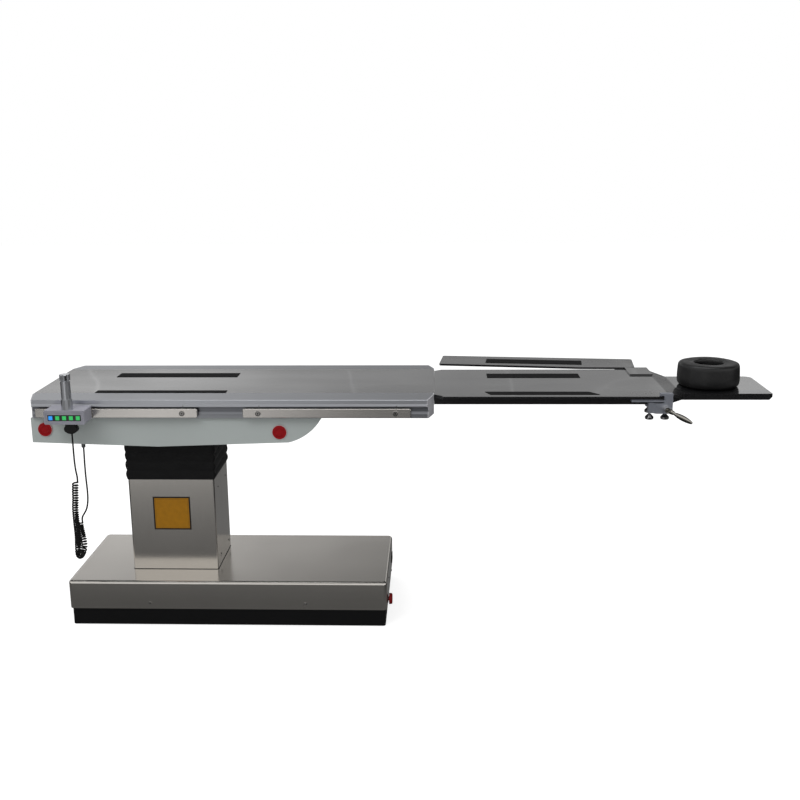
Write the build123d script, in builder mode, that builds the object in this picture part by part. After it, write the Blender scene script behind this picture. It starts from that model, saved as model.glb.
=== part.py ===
from build123d import *
import math
import os

os.makedirs("parts", exist_ok=True)

# An operating table with a long see-through carbon top on a single column.
# +X runs along the table to the head end, +Z is up, and the origin is the
# centre of the base's footprint on the floor.

# Clearances shared by many pieces
running_gap = 0.05
seat_gap = 0.3
overrun = 20.0

# Base: a cast slab on the floor, a dark skirt and a brushed steel cover
base_length = 1100.0
base_width = 454.0
base_top_z = 163.5
cover_bottom_z = 63.0
cover_corner_radius = 16.0
cover_edge_radius = 10.0
cover_sheet = 2.0
cover_flange = 16.0
skirt_inset = 6.5
skirt_wall = 5.0
skirt_floor_gap = 2.0
casting_thickness = 38.0
pallet_spacing_x = 900.0
pallet_spacing_y = 320.0
pallet_hole_radius = 5.1
pallet_hole_depth = 25.0

# Column: two sheet covers round a fixed guide tube
column_x = -199.5
column_length = 300.0
column_width = 231.0
column_top_z = 494.4
column_radius = 6.0
column_sheet = 1.5
column_flange = 10.0
column_seam = 0.6
column_footing = 12.0
tube_length = 220.0
tube_width = 150.0
tube_wall = 10.0
tube_radius = 12.0
tube_top_z = 478.0
tube_flange_reach = 22.0
tube_flange_thickness = 12.0

# Plate on the column's front, left bare
plate_x = -202.0
plate_z = 371.75
plate_width = 130.0
plate_height = 120.5
plate_thickness = 1.0

# Inner column, lift cylinder and rod
inner_wall = 8.0
inner_bottom_z = 62.0
head_plate_z = 643.0
head_plate_thickness = 12.0
barrel_radius = 35.0
barrel_bore = 26.0
barrel_floor = 20.0
barrel_top_z = 430.0
barrel_gland = 12.0
rod_radius = 18.0
piston_height = 28.0
piston_lift = 4.0

# Bellows between the column cover and the column head
bellows_length = 306.0
bellows_width = 237.0
bellows_wall = 5.0
bellows_fold = 9.0
bellows_radius = 16.0
bellows_folds = 6

# Tilting joint: a cross with four pins, held in two pairs of ears
pivot_z = 700.0
pin_radius = 15.0
ear_radius = 26.0
ear_start = 58.0
ear_thickness = 22.0
pin_end_gap = 0.5
cross_size = 110.0
cross_height = 46.0
cross_chamfer = 8.0
motor_reach = 50.0
motor_half_width = 28.0
motor_drop = 38.0
motor_rise = 12.0
tilt_motor_reach = 45.0
tilt_motor_drop = 8.0
tilt_motor_rise = 28.0
motor_edge = 4.0

# Housing shell under the top
housing_left_x = -614.0
housing_right_x = 344.0
housing_half_width = 255.0
housing_top_z = 750.5
housing_left_bottom_z = 667.5
housing_low_x = -200.0
housing_low_z = 653.5
housing_turn_x = 235.0
housing_turn_z = 668.0
housing_bow_x = 303.0
housing_bow_z = 702.0
housing_wall = 3.0
housing_flange = 20.0
housing_corner = 8.0
throat_length = 364.0
throat_width = 300.0
throat_radius = 20.0
cap_radius = 25.0
cap_proud = 4.0
cap_dome = 2.5
cap_places = ((-568.0, 712.5), (205.5, 703.5))

# Cradle frame inside the housing
frame_drop = 3.5
frame_top_z = housing_top_z - frame_drop
beam_height = 27.0
beam_width = 22.0
beam_left_x = -600.0
beam_right_x = 300.0
crossbar_width = 40.0
crossbar_places = (-560.0, -420.0, 10.0, 270.0)
slide_rail_width = 20.0
slide_rail_height = 16.0
slide_rail_y = 150.0
slide_rail_left_x = -588.0
slide_rail_right_x = 312.0

# Slide blocks and the drive that moves the top along
block_length = 70.0
block_width = 44.0
block_foot_x = -240.0
block_head_x = 270.0
block_lift = 5.0
drive_radius = 12.0
drive_left_x = -588.0
drive_right_x = -250.0
drive_floor = 13.0
drive_rod_radius = 8.0
drive_rod_tail = 15.0
drive_bracket_x = 70.0
drive_bracket_length = 25.0
drive_bracket_width = 30.0
drive_bracket_drop = 1.5

# Top: a carbon panel between two aluminium side profiles
top_left_x = -621.0
top_right_x = 710.0
top_z = 818.9
top_half_width = 275.0
ridge_half_width = 188.0
edge_drop = 2.8
panel_bottom_z = 779.0
profile_bottom_z = 753.5
profile_face_z = 803.0
profile_lip_z = 797.0
profile_lip_bottom_z = 794.0
profile_lip_reach = 4.0
profile_slot_inset = 13.0
profile_groove_inset = 17.0
profile_groove_z = 779.0
profile_foot_inset = 9.0
profile_step_z = 775.0
profile_bevel_z = 767.0
profile_inner = 200.0
profile_edge = 1.5
profile_skin = 6.0
corner_cut_length = 20.0
corner_cut_width = 70.0
end_cap_thickness = 3.0

# Accessory rails
rail_height = 30.0
rail_thickness = 10.0
rail_bottom_z = 758.0
rail_standoff = 6.0
rail_foot_start_x = -588.0
rail_foot_end_x = -56.0
rail_head_start_x = 91.5
rail_head_end_x = 636.0
rail_edge = 1.5
rail_corner = 6.0
bolt_inset = 50.0
bolt_shank_radius = 4.0
bolt_head_radius = 9.0
bolt_head_height = 3.0
bolt_head_dome = 1.2
spacer_radius = 9.0
bolt_hole_gap = 0.2

# Extension panel, stepping down to the head plate
extension_gap = 0.3
extension_top_z = 813.5
extension_half_width = 209.0
extension_flange = 12.5
extension_body_half = 182.0
extension_corner_length = 29.0
extension_corner_width = 24.0
extension_edge = 2.5
taper_start_x = 1476.0
head_start_x = 1531.0
head_end_x = 1830.0
head_half_width = 133.5
head_top_z = 803.5
head_bottom_z = 782.5
head_near_corner = 4.0
head_far_corner = 25.0
head_under_edge = 11.0
spigot_radius = 9.0
spigot_y = 140.0
spigot_reach = 150.0
spigot_end_gap = 5.0

# Black grip strips on the top surfaces
strip_thickness = 1.2
strip_far_x = (-416.0, 14.0)
strip_far_y = (57.5, 119.0)
strip_near_x = (-417.0, 20.0)
strip_near_y = (-185.5, -154.0)
strip_extension_far_x = (896.5, 1222.0)
strip_extension_far_y = (67.0, 131.5)
strip_extension_near_x = (896.0, 1252.0)
strip_extension_inner_x = (879.0, 1222.0)
strip_extension_near_y = (-189.0, -150.0)

# Arm board on its bracket, beside the extension
bracket_left_x = 1402.0
bracket_right_x = 1482.0
bracket_near_y = 105.5
bracket_far_y = 219.5
bracket_thickness = 5.0
bracket_radius = 2.0
arm_pivot_x = 1400.0
arm_pivot_y = 300.0
arm_lug_radius = 30.0
arm_lug_thickness = 5.0
arm_pin_radius = 8.0
arm_pin_height = 5.0
arm_pin_end_gap = 0.4
board_thickness = 7.3
board_foot_length = 667.0
board_head_length = 47.0
board_far_half = 74.0
board_near_half = 80.0
board_bulge_x = -150.0
board_bulge_y = -92.0
board_swing_radius = 79.5
board_radius = 8.0
board_angle = 5.9
board_strip_x = (-496.5, -141.5)
board_strip_y = (-46.3, 21.7)

# Head ring cushion
ring_x = 1649.0
ring_outer = 104.5
ring_inner = 48.0
ring_height = 81.0
ring_top_round = 10.0
ring_bottom_round = 20.0
ring_bore_round = 9.0

# Clamp on the extension's near edge
clamp_left_x = 1424.0
clamp_right_x = 1484.5
clamp_wall_x = 1457.0
clamp_lip_x = 1444.0
clamp_wall = 7.5
clamp_lip_height = 8.5
clamp_lip_reach = 14.0
clamp_jaw_left_x = 1351.0
clamp_jaw_thickness = 5.5
clamp_jaw_reach = 24.0
clamp_slot = 4.0
clamp_bottom_z = 756.0
clamp_block_depth = 122.0
clamp_block_edge = 7.5
lug_left_x = 1407.5
lug_front_inset = 8.0
lug_depth = 20.0
rear_lug_left_x = 1418.0
knob_places = ((1413.6, -198.8), (1463.8, -198.8), (1429.0, -109.0))
knob_stem_radius = 4.0
knob_stem_length = 5.0
knob_radius = 13.9
knob_height = 16.5
knob_neck_radius = 6.0
knob_shoulder_share = 0.4
knob_edge = 2.0
knob_thread_depth = 14.0
thread_end_gap = 0.5

# Clamp lever
lever_x = 1464.4
lever_z = 772.1
lever_angle = -28.7
lever_pin_radius = 5.0
lever_pin_depth = 10.0
lever_hub_radius = 9.5
lever_hub_height = 20.0
lever_screw_radius = 4.0
lever_ring_radius = 6.5
lever_ring_depth = 2.0
lever_collars = ((11.0, 8.2, 5.5), (19.0, 7.2, 4.5))
lever_neck_radius = 5.0
lever_grip_start = 28.5
lever_grip_radius = 9.0
lever_grip_length = 65.5
lever_tip_radius = 4.0
lever_belly_share = 0.4

# Control box on the near rail
box_x = -464.5
box_width = 130.0
box_height = 45.5
box_bottom_z = 756.0
box_front_y = -359.0
box_back_y = -286.5
box_wall = 3.0
box_edge = 4.0
window_width = 118.0
window_height = 34.0
window_drop = 1.7
face_thickness = 4.0
face_recess = 1.2
face_width = 108.0
face_height = 20.0
button_width = 14.5
button_height = 15.0
button_pitch = 22.0
button_depth = 9.0
button_proud = 1.0
button_travel = 2.0
button_gap = 0.4
button_edge = 2.0
hook_height = 4.2
hook_lip = 3.5
hook_lip_drop = 8.0

# Grip post on the control box
grip_y = -340.0
grip_x = -458.3
grip_collar_radius = 17.9
grip_collar_height = 34.0
grip_collar_sides = 12
grip_low_radius = 16.0
grip_high_radius = 15.0
grip_top_z = 894.0
grip_bore = 6.0
grip_bore_depth = 40.0
grip_cap_gap = 3.2
grip_cap_radius = 16.8
grip_cap_top_z = 916.0
grip_cap_dome = 2.0
grip_flute_radius = 3.4
grip_flute_share = 0.2
grip_flutes = 8
grip_stem_length = 30.0

# Emergency stop and inlet on the base's head end
stop_y = -192.0
stop_z = 91.0
stop_collar_radius = 14.0
stop_collar_height = 2.5
stop_recess_gap = 1.0
stop_sleeve_radius = 11.0
stop_sleeve_depth = 8.0
stop_stem_radius = 7.0
stop_stem_depth = 30.0
stop_cap_radius = 19.0
stop_cap_height = 11.2
stop_cap_round = 5.0
stop_travel = 5.0
inlet_y = 140.0
inlet_z = 108.0
inlet_width = 50.0
inlet_height = 29.0
inlet_flange = 3.0
inlet_depth = 32.0
inlet_socket_width = 30.0
inlet_socket_height = 20.0
inlet_socket_depth = 18.0

# Screws of the base and column covers
cover_screw_x = 268.0
cover_screw_z = 85.0
column_screw_y = (-56.0, 95.0)
column_screw_z = 193.0
small_screw_radius = 4.5
small_screw_height = 1.6
small_screw_round = 0.8

# Plug under the control box and gland in the housing
plug_half_width = 22.4
plug_depth = 20.0
plug_low_z = 715.0
plug_edge = 2.0
plug_outline_shares = ((0.2, 0), (0.5, 0.05), (0.9, 0.2), (1, 0.34), (0.95, 0.5), (0.76, 0.66), (0.72, 1))
gland_radius = 6.4
gland_low_z = 646.0
gland_edge = 1.0
gland_thread_radius = 4.5
gland_nut_radius = 8.0
gland_nut_height = 4.0
gland_nut_sides = 6

# Cord from the plug to the gland: its route, and the curls round its middle stretch
cord_radius = 2.75
curl_radius = 8.2
curl_bend = 9.0
lead_box_route = (
    (-459.0, -315.0, 715.0),
    (-459.0, -315.0, 680.0),
    (-459.3, -314.6, 644.0),
    (-458.9, -314.3, 612.0),
    (-457.2, -314.0, 587.0),
    (-454.3, -314.0, 570.0),
    (-454.3, -314.0, 560.5),
)
coil_route = (
    (-462.5, -314.0, 560.5),
    (-462.5, -314.0, 542.0),
    (-465.8, -313.5, 516.0),
    (-466.6, -313.0, 490.0),
    (-470.4, -312.5, 462.0),
    (-470.8, -312.0, 434.0),
    (-470.4, -312.0, 406.0),
    (-469.0, -312.0, 362.0),
    (-471.5, -312.0, 328.0),
    (-472.5, -312.0, 294.3),
    (-474.0, -284.0, 278.2),
    (-470.5, -256.0, 294.3),
    (-470.5, -256.0, 326.0),
    (-475.0, -256.0, 352.0),
    (-478.5, -256.0, 380.0),
    (-478.5, -256.0, 398.0),
)
lead_socket_route = (
    (-470.3, -256.0, 398.0),
    (-470.3, -256.0, 407.0),
    (-461.5, -256.0, 420.0),
    (-451.5, -256.0, 437.0),
    (-445.5, -255.5, 466.0),
    (-445.3, -254.0, 502.0),
    (-448.5, -250.0, 545.0),
    (-450.5, -245.0, 590.0),
    (-452.0, -238.0, 630.0),
    (-452.0, -238.0, 646.0),
)
curl_places_share = (0, 0.26, 0.34, 0.53, 0.58, 0.825, 0.87, 1)
curl_pitches = (8.9, 8.4, 6.6, 6.5, 9.1, 9.1, 6.7, 6.8)
curl_step = 0.05
bend_angles = (0, 28, 56)
straight_limit = 1e-7
points_per_arc = 4
arc_share = 0.45

# Units inside the base
pump_end_gap = 88.2
pump_length = 260.0
pump_width = 170.0
pump_height = 78.0
pump_motor_radius = 42.0
pump_motor_length = 130.0
pump_edge = 6.0
supply_end_gap = 23.2
supply_length = 150.0
supply_width = 220.0
supply_height = 95.0
supply_edge = 3.0


def box_between(low, high):
    """A plain block from its lowest corner to its highest."""
    size = [high[i] - low[i] for i in range(3)]
    middle = [(high[i] + low[i]) / 2 for i in range(3)]
    with Locations(tuple(middle)):
        Box(*size)


def round_row(places, height, radius, depth, plane, mode=Mode.ADD):
    """Round pieces or holes in a row along the table, at one height."""
    with BuildSketch(plane) as row:
        with Locations(*[(place, height) for place in places]):
            Circle(radius)
    extrude(row.sketch, amount=depth, mode=mode)


# Base casting
casting_inset = skirt_inset + skirt_wall + seat_gap
casting_length = base_length - 2 * casting_inset
casting_width = base_width - 2 * casting_inset

with BuildPart() as base_casting:
    with BuildSketch(Plane.XY):
        RectangleRounded(casting_length, casting_width, cover_corner_radius - casting_inset)
    extrude(amount=casting_thickness)
    with BuildSketch(Plane.XY):
        with GridLocations(pallet_spacing_x, pallet_spacing_y, 2, 2):
            Circle(pallet_hole_radius)
    extrude(amount=pallet_hole_depth, mode=Mode.SUBTRACT)
base_casting.part.label = "base_casting"
export_step(base_casting.part, "parts/base_casting.step")

# Base skirt
skirt_length = base_length - 2 * skirt_inset
skirt_width = base_width - 2 * skirt_inset

with BuildPart() as base_skirt:
    with BuildSketch(Plane.XY.offset(skirt_floor_gap)):
        RectangleRounded(skirt_length, skirt_width, cover_corner_radius - skirt_inset)
        RectangleRounded(
            skirt_length - 2 * skirt_wall,
            skirt_width - 2 * skirt_wall,
            cover_corner_radius - skirt_inset - skirt_wall,
            mode=Mode.SUBTRACT,
        )
    extrude(amount=cover_bottom_z - skirt_floor_gap)
base_skirt.part.label = "base_skirt"
export_step(base_skirt.part, "parts/base_skirt.step")

# Base cover
with BuildPart() as base_cover:
    with BuildSketch(Plane.XY.offset(cover_bottom_z)):
        RectangleRounded(base_length, base_width, cover_corner_radius)
    extrude(amount=base_top_z - cover_bottom_z)
    fillet(base_cover.faces().sort_by(Axis.Z)[-1].edges(), cover_edge_radius)
    offset(amount=-cover_sheet, openings=base_cover.faces().sort_by(Axis.Z)[0])
    with BuildSketch(Plane.XY.offset(cover_bottom_z)):
        RectangleRounded(base_length, base_width, cover_corner_radius)
        Rectangle(base_length - 2 * cover_flange, base_width - 2 * cover_flange, mode=Mode.SUBTRACT)
    extrude(amount=cover_sheet)
    with BuildSketch(Plane.XY.offset(base_top_z - cover_sheet)):
        with Locations((column_x, 0)):
            RectangleRounded(
                column_length - 2 * column_footing,
                column_width - 2 * column_footing,
                column_radius,
            )
    extrude(amount=cover_sheet, mode=Mode.SUBTRACT)
    with BuildSketch(Plane.YZ.offset(base_length / 2)):
        with Locations((stop_y, stop_z)):
            Circle(stop_sleeve_radius + seat_gap)
        with Locations((inlet_y, inlet_z)):
            Rectangle(inlet_width - 2 * inlet_flange, inlet_height - 2 * inlet_flange)
    extrude(amount=-cover_corner_radius, mode=Mode.SUBTRACT)
base_cover.part.label = "base_cover"
export_step(base_cover.part, "parts/base_cover.step")


def column_half(side):
    """One sheet cover of the column: side -1 is the near half, 1 the far half."""
    with BuildPart() as half:
        for start_z, height, wall in (
            (base_top_z, column_top_z - base_top_z, column_sheet),
            (column_top_z - column_sheet, column_sheet, column_flange),
        ):
            with BuildSketch(Plane.XY.offset(start_z)):
                with Locations((column_x, 0)):
                    RectangleRounded(column_length, column_width, column_radius)
                    Rectangle(
                        column_length - 2 * wall,
                        column_width - 2 * wall,
                        mode=Mode.SUBTRACT,
                    )
                with Locations((column_x, side * (column_seam + column_width) / 2)):
                    Rectangle(column_length, column_width, mode=Mode.INTERSECT)
            extrude(amount=height)
    return half


column_cover_front = column_half(-1)
column_cover_front.part.label = "column_cover_front"
export_step(column_cover_front.part, "parts/column_cover_front.step")

column_cover_rear = column_half(1)
column_cover_rear.part.label = "column_cover_rear"
export_step(column_cover_rear.part, "parts/column_cover_rear.step")

# Bare plate on the column's front
with BuildPart() as label_plate:
    with BuildSketch(Plane.XZ.offset(column_width / 2)):
        with Locations((plate_x, plate_z)):
            RectangleRounded(plate_width, plate_height, plate_thickness)
    extrude(amount=plate_thickness)
label_plate.part.label = "label_plate"
export_step(label_plate.part, "parts/label_plate.step")

# Fixed guide tube of the column
with BuildPart() as column_tube:
    with BuildSketch(Plane.XY.offset(casting_thickness)):
        with Locations((column_x, 0)):
            RectangleRounded(
                tube_length + 2 * tube_flange_reach,
                tube_width + 2 * tube_flange_reach,
                tube_radius,
            )
    extrude(amount=tube_flange_thickness)
    with BuildSketch(Plane.XY.offset(casting_thickness)):
        with Locations((column_x, 0)):
            RectangleRounded(tube_length, tube_width, tube_radius)
    extrude(amount=tube_top_z - casting_thickness)
    with BuildSketch(Plane.XY.offset(casting_thickness)):
        with Locations((column_x, 0)):
            Rectangle(tube_length - 2 * tube_wall, tube_width - 2 * tube_wall)
    extrude(amount=tube_top_z - casting_thickness, mode=Mode.SUBTRACT)
column_tube.part.label = "column_tube"
export_step(column_tube.part, "parts/column_tube.step")

# Lift cylinder, standing on the casting inside the tube
with BuildPart() as lift_cylinder:
    with BuildSketch(Plane.XY.offset(casting_thickness)):
        with Locations((column_x, 0)):
            Circle(barrel_radius)
    extrude(amount=barrel_top_z - casting_thickness)
    with BuildSketch(Plane.XY.offset(casting_thickness + barrel_floor)):
        with Locations((column_x, 0)):
            Circle(barrel_bore)
    extrude(amount=barrel_top_z - barrel_gland - casting_thickness - barrel_floor, mode=Mode.SUBTRACT)
    with BuildSketch(Plane.XY.offset(barrel_top_z - barrel_gland)):
        with Locations((column_x, 0)):
            Circle(rod_radius + running_gap)
    extrude(amount=barrel_gland, mode=Mode.SUBTRACT)
lift_cylinder.part.label = "lift_cylinder"
export_step(lift_cylinder.part, "parts/lift_cylinder.step")

piston_bottom_z = casting_thickness + barrel_floor + piston_lift

with BuildPart() as lift_rod:
    with BuildSketch(Plane.XY.offset(piston_bottom_z)):
        with Locations((column_x, 0)):
            Circle(barrel_bore - running_gap)
    extrude(amount=piston_height)
    with BuildSketch(Plane.XY.offset(piston_bottom_z)):
        with Locations((column_x, 0)):
            Circle(rod_radius)
    extrude(amount=head_plate_z - piston_bottom_z)
lift_rod.part.label = "lift_rod"
export_step(lift_rod.part, "parts/lift_rod.step")

# Inner column, sliding in the guide tube
inner_length = tube_length - 2 * tube_wall - 2 * running_gap
inner_width = tube_width - 2 * tube_wall - 2 * running_gap

with BuildPart() as inner_column:
    with BuildSketch(Plane.XY.offset(inner_bottom_z)):
        with Locations((column_x, 0)):
            Rectangle(inner_length, inner_width)
            Rectangle(inner_length - 2 * inner_wall, inner_width - 2 * inner_wall, mode=Mode.SUBTRACT)
    extrude(amount=head_plate_z - inner_bottom_z)
inner_column.part.label = "inner_column"
export_step(inner_column.part, "parts/inner_column.step")

# Bellows: stacked folds, each a pair of tapered rings
bellows_bottom_z = column_top_z + seat_gap
bellows_top_z = head_plate_z + head_plate_thickness
fold_height = (bellows_top_z - bellows_bottom_z) / bellows_folds
fold_angle = math.degrees(math.atan(2 * bellows_fold / fold_height))

with BuildPart() as bellows:
    for fold in range(bellows_folds):
        low_z = bellows_bottom_z + fold * fold_height
        with BuildSketch(Plane.XY.offset(low_z)):
            with Locations((column_x, 0)):
                RectangleRounded(
                    bellows_length - 2 * bellows_fold,
                    bellows_width - 2 * bellows_fold,
                    bellows_radius - bellows_fold,
                )
        extrude(amount=fold_height / 2, taper=-fold_angle)
        with BuildSketch(Plane.XY.offset(low_z + fold_height)):
            with Locations((column_x, 0)):
                RectangleRounded(
                    bellows_length - 2 * bellows_fold,
                    bellows_width - 2 * bellows_fold,
                    bellows_radius - bellows_fold,
                )
        extrude(amount=-fold_height / 2, taper=-fold_angle)
    with BuildSketch(Plane.XY.offset(bellows_bottom_z)):
        with Locations((column_x, 0)):
            Rectangle(
                bellows_length - 2 * (bellows_fold + bellows_wall),
                bellows_width - 2 * (bellows_fold + bellows_wall),
            )
    extrude(amount=bellows_top_z - bellows_bottom_z, mode=Mode.SUBTRACT)
bellows.part.label = "bellows"
export_step(bellows.part, "parts/bellows.step")

# Column head: a plate with two ears for the cross
head_length = bellows_length - 2 * (bellows_fold + bellows_wall + seat_gap)
head_width = bellows_width - 2 * (bellows_fold + bellows_wall + seat_gap)

with BuildPart() as column_head:
    with BuildSketch(Plane.XY.offset(head_plate_z)):
        with Locations((column_x, 0)):
            Rectangle(head_length, head_width)
    extrude(amount=head_plate_thickness)
    for side in (-1, 1):
        ear_x = column_x + side * (ear_start + ear_thickness / 2)
        with BuildSketch(Plane.YZ.offset(ear_x - ear_thickness / 2)):
            with BuildLine():
                Line((-ear_radius, bellows_top_z), (ear_radius, bellows_top_z))
                Line((ear_radius, bellows_top_z), (ear_radius, pivot_z))
                ThreePointArc((ear_radius, pivot_z), (0, pivot_z + ear_radius), (-ear_radius, pivot_z))
                Line((-ear_radius, pivot_z), (-ear_radius, bellows_top_z))
            make_face()
            with Locations((0, pivot_z)):
                Circle(pin_radius + running_gap, mode=Mode.SUBTRACT)
        extrude(amount=ear_thickness)
column_head.part.label = "column_head"
export_step(column_head.part, "parts/column_head.step")

# Cross between column head and cradle, with a pin on each side
pin_end = ear_start + ear_thickness - pin_end_gap

with BuildPart() as tilt_cross:
    with Locations((column_x, 0, pivot_z)):
        Box(cross_size, cross_size, cross_height)
    chamfer(tilt_cross.edges().filter_by(Axis.Z), cross_chamfer)
    with BuildSketch(Plane.YZ.offset(column_x - pin_end)):
        with Locations((0, pivot_z)):
            Circle(pin_radius)
    extrude(amount=2 * pin_end)
    with BuildSketch(Plane.XZ.offset(-pin_end)):
        with Locations((column_x, pivot_z)):
            Circle(pin_radius)
    extrude(amount=2 * pin_end)
tilt_cross.part.label = "tilt_cross"
export_step(tilt_cross.part, "parts/tilt_cross.step")

# Gear motor of the side tilt, on the column head's outer ear
ear_end = ear_start + ear_thickness

with BuildPart() as side_tilt_motor:
    box_between(
        (column_x + ear_end, -motor_half_width, pivot_z - motor_drop),
        (column_x + ear_end + motor_reach, motor_half_width, pivot_z + motor_rise),
    )
    chamfer(side_tilt_motor.edges().filter_by(Axis.X), motor_edge)
side_tilt_motor.part.label = "side_tilt_motor"
export_step(side_tilt_motor.part, "parts/side_tilt_motor.step")

# Gear motor of the end tilt, on the cradle's outer ear
with BuildPart() as end_tilt_motor:
    box_between(
        (column_x - motor_half_width, ear_end, pivot_z - tilt_motor_drop),
        (column_x + motor_half_width, ear_end + tilt_motor_reach, pivot_z + tilt_motor_rise),
    )
    chamfer(end_tilt_motor.edges().filter_by(Axis.Y), motor_edge)
end_tilt_motor.part.label = "end_tilt_motor"
export_step(end_tilt_motor.part, "parts/end_tilt_motor.step")

# Cradle frame: two beams, crossbars, and an ear under each beam
beam_bottom_z = frame_top_z - beam_height
crossbar_end = housing_half_width - housing_wall - seat_gap

with BuildPart() as cradle_frame:
    for side in (-1, 1):
        beam_low_y = min(side * ear_start, side * (ear_start + beam_width))
        box_between(
            (beam_left_x, beam_low_y, beam_bottom_z),
            (beam_right_x, beam_low_y + beam_width, frame_top_z),
        )
        with BuildSketch(Plane.XZ.offset(-beam_low_y)):
            with BuildLine():
                Line((column_x - ear_radius, beam_bottom_z), (column_x + ear_radius, beam_bottom_z))
                Line((column_x + ear_radius, beam_bottom_z), (column_x + ear_radius, pivot_z))
                ThreePointArc(
                    (column_x + ear_radius, pivot_z),
                    (column_x, pivot_z - ear_radius),
                    (column_x - ear_radius, pivot_z),
                )
                Line((column_x - ear_radius, pivot_z), (column_x - ear_radius, beam_bottom_z))
            make_face()
        extrude(amount=-ear_thickness)
        with BuildSketch(Plane.XZ.offset(-beam_low_y)):
            with Locations((column_x, pivot_z)):
                Circle(pin_radius + running_gap)
        extrude(amount=-ear_thickness, mode=Mode.SUBTRACT)
    for place in crossbar_places:
        box_between(
            (place - crossbar_width / 2, -crossbar_end, beam_bottom_z),
            (place + crossbar_width / 2, crossbar_end, frame_top_z),
        )
cradle_frame.part.label = "cradle_frame"
export_step(cradle_frame.part, "parts/cradle_frame.step")


def housing_outline(inset):
    """Side outline of the housing: straight foot end, shallow belly, bowed head end."""
    with BuildSketch(Plane.XZ) as outline:
        with BuildLine():
            Line((housing_left_x, housing_top_z), (housing_left_x, housing_left_bottom_z))
            Line((housing_left_x, housing_left_bottom_z), (housing_low_x, housing_low_z))
            Line((housing_low_x, housing_low_z), (housing_turn_x, housing_turn_z))
            ThreePointArc(
                (housing_turn_x, housing_turn_z),
                (housing_bow_x, housing_bow_z),
                (housing_right_x, housing_top_z),
            )
            Line((housing_right_x, housing_top_z), (housing_left_x, housing_top_z))
        make_face()
        if inset:
            offset(amount=-inset, kind=Kind.INTERSECTION, mode=Mode.REPLACE)
    return outline.sketch


# Where the cord's gland stands on the housing's sloping underside
gland_place = lead_socket_route[-1][0:2]
underside_slope = (housing_low_z - housing_left_bottom_z) / (housing_low_x - housing_left_x)
gland_seat_z = housing_left_bottom_z + underside_slope * (gland_place[0] - housing_left_x)
gland_nut_z = gland_seat_z + housing_wall + 2 * seat_gap

# Housing shell, open above and round the column head
with BuildPart() as housing_shell:
    extrude(housing_outline(0), amount=housing_half_width, both=True)
    extrude(
        housing_outline(housing_wall),
        amount=housing_half_width - housing_wall,
        both=True,
        mode=Mode.SUBTRACT,
    )
    with BuildSketch(Plane.XY.offset(housing_top_z)):
        with Locations(((housing_left_x + housing_right_x) / 2, 0)):
            Rectangle(
                housing_right_x - housing_left_x - 2 * housing_flange,
                2 * (housing_half_width - housing_flange),
            )
    extrude(amount=-2 * housing_wall, mode=Mode.SUBTRACT)
    with BuildSketch(Plane.XY.offset(housing_low_z)):
        with Locations((column_x, 0)):
            RectangleRounded(throat_length, throat_width, throat_radius)
    extrude(amount=overrun, both=True, mode=Mode.SUBTRACT)
    with BuildSketch(Plane.XY.offset(gland_low_z)):
        with Locations(gland_place):
            Circle(gland_thread_radius + seat_gap)
    extrude(amount=gland_nut_z - gland_low_z, mode=Mode.SUBTRACT)
housing_shell.part.label = "housing_shell"
export_step(housing_shell.part, "parts/housing_shell.step")

# Four domed caps on the housing's sides
with BuildPart() as housing_caps:
    with BuildSketch(Plane.XZ.offset(housing_half_width)):
        with Locations(*cap_places):
            Circle(cap_radius)
    extrude(amount=cap_proud)
    fillet(housing_caps.faces().sort_by(Axis.Y)[0:2].edges(), cap_dome)
    mirror(about=Plane.XZ)
housing_caps.part.label = "housing_caps"
export_step(housing_caps.part, "parts/housing_caps.step")

# Slide rails on the cradle's crossbars
with BuildPart() as slide_rails:
    for side in (-1, 1):
        box_between(
            (slide_rail_left_x, side * slide_rail_y - slide_rail_width / 2, frame_top_z),
            (
                slide_rail_right_x,
                side * slide_rail_y + slide_rail_width / 2,
                frame_top_z + slide_rail_height,
            ),
        )
slide_rails.part.label = "slide_rails"
export_step(slide_rails.part, "parts/slide_rails.step")

# Slide blocks under the top panel, each gripping a rail
with BuildPart() as slide_blocks:
    for side in (-1, 1):
        for place in (block_foot_x, block_head_x):
            box_between(
                (place - block_length / 2, side * slide_rail_y - block_width / 2, frame_top_z + block_lift),
                (place + block_length / 2, side * slide_rail_y + block_width / 2, panel_bottom_z),
            )
    for side in (-1, 1):
        with BuildSketch(Plane.YZ.offset(block_foot_x - block_length / 2)):
            with Locations((side * slide_rail_y, frame_top_z + (slide_rail_height + seat_gap) / 2)):
                Rectangle(slide_rail_width + 2 * running_gap, slide_rail_height + seat_gap)
        extrude(amount=block_head_x - block_foot_x + block_length, mode=Mode.SUBTRACT)
slide_blocks.part.label = "slide_blocks"
export_step(slide_blocks.part, "parts/slide_blocks.step")

# Slide drive: a barrel on the crossbars, its rod fixed under the top
drive_z = frame_top_z + drive_radius + seat_gap

with BuildPart() as drive_barrel:
    with BuildSketch(Plane.YZ.offset(drive_left_x)):
        with Locations((0, drive_z)):
            Circle(drive_radius)
    extrude(amount=drive_right_x - drive_left_x)
    with BuildSketch(Plane.YZ.offset(drive_left_x + drive_floor)):
        with Locations((0, drive_z)):
            Circle(drive_rod_radius + running_gap)
    extrude(amount=drive_right_x - drive_left_x - drive_floor, mode=Mode.SUBTRACT)
drive_barrel.part.label = "drive_barrel"
export_step(drive_barrel.part, "parts/drive_barrel.step")

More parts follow.
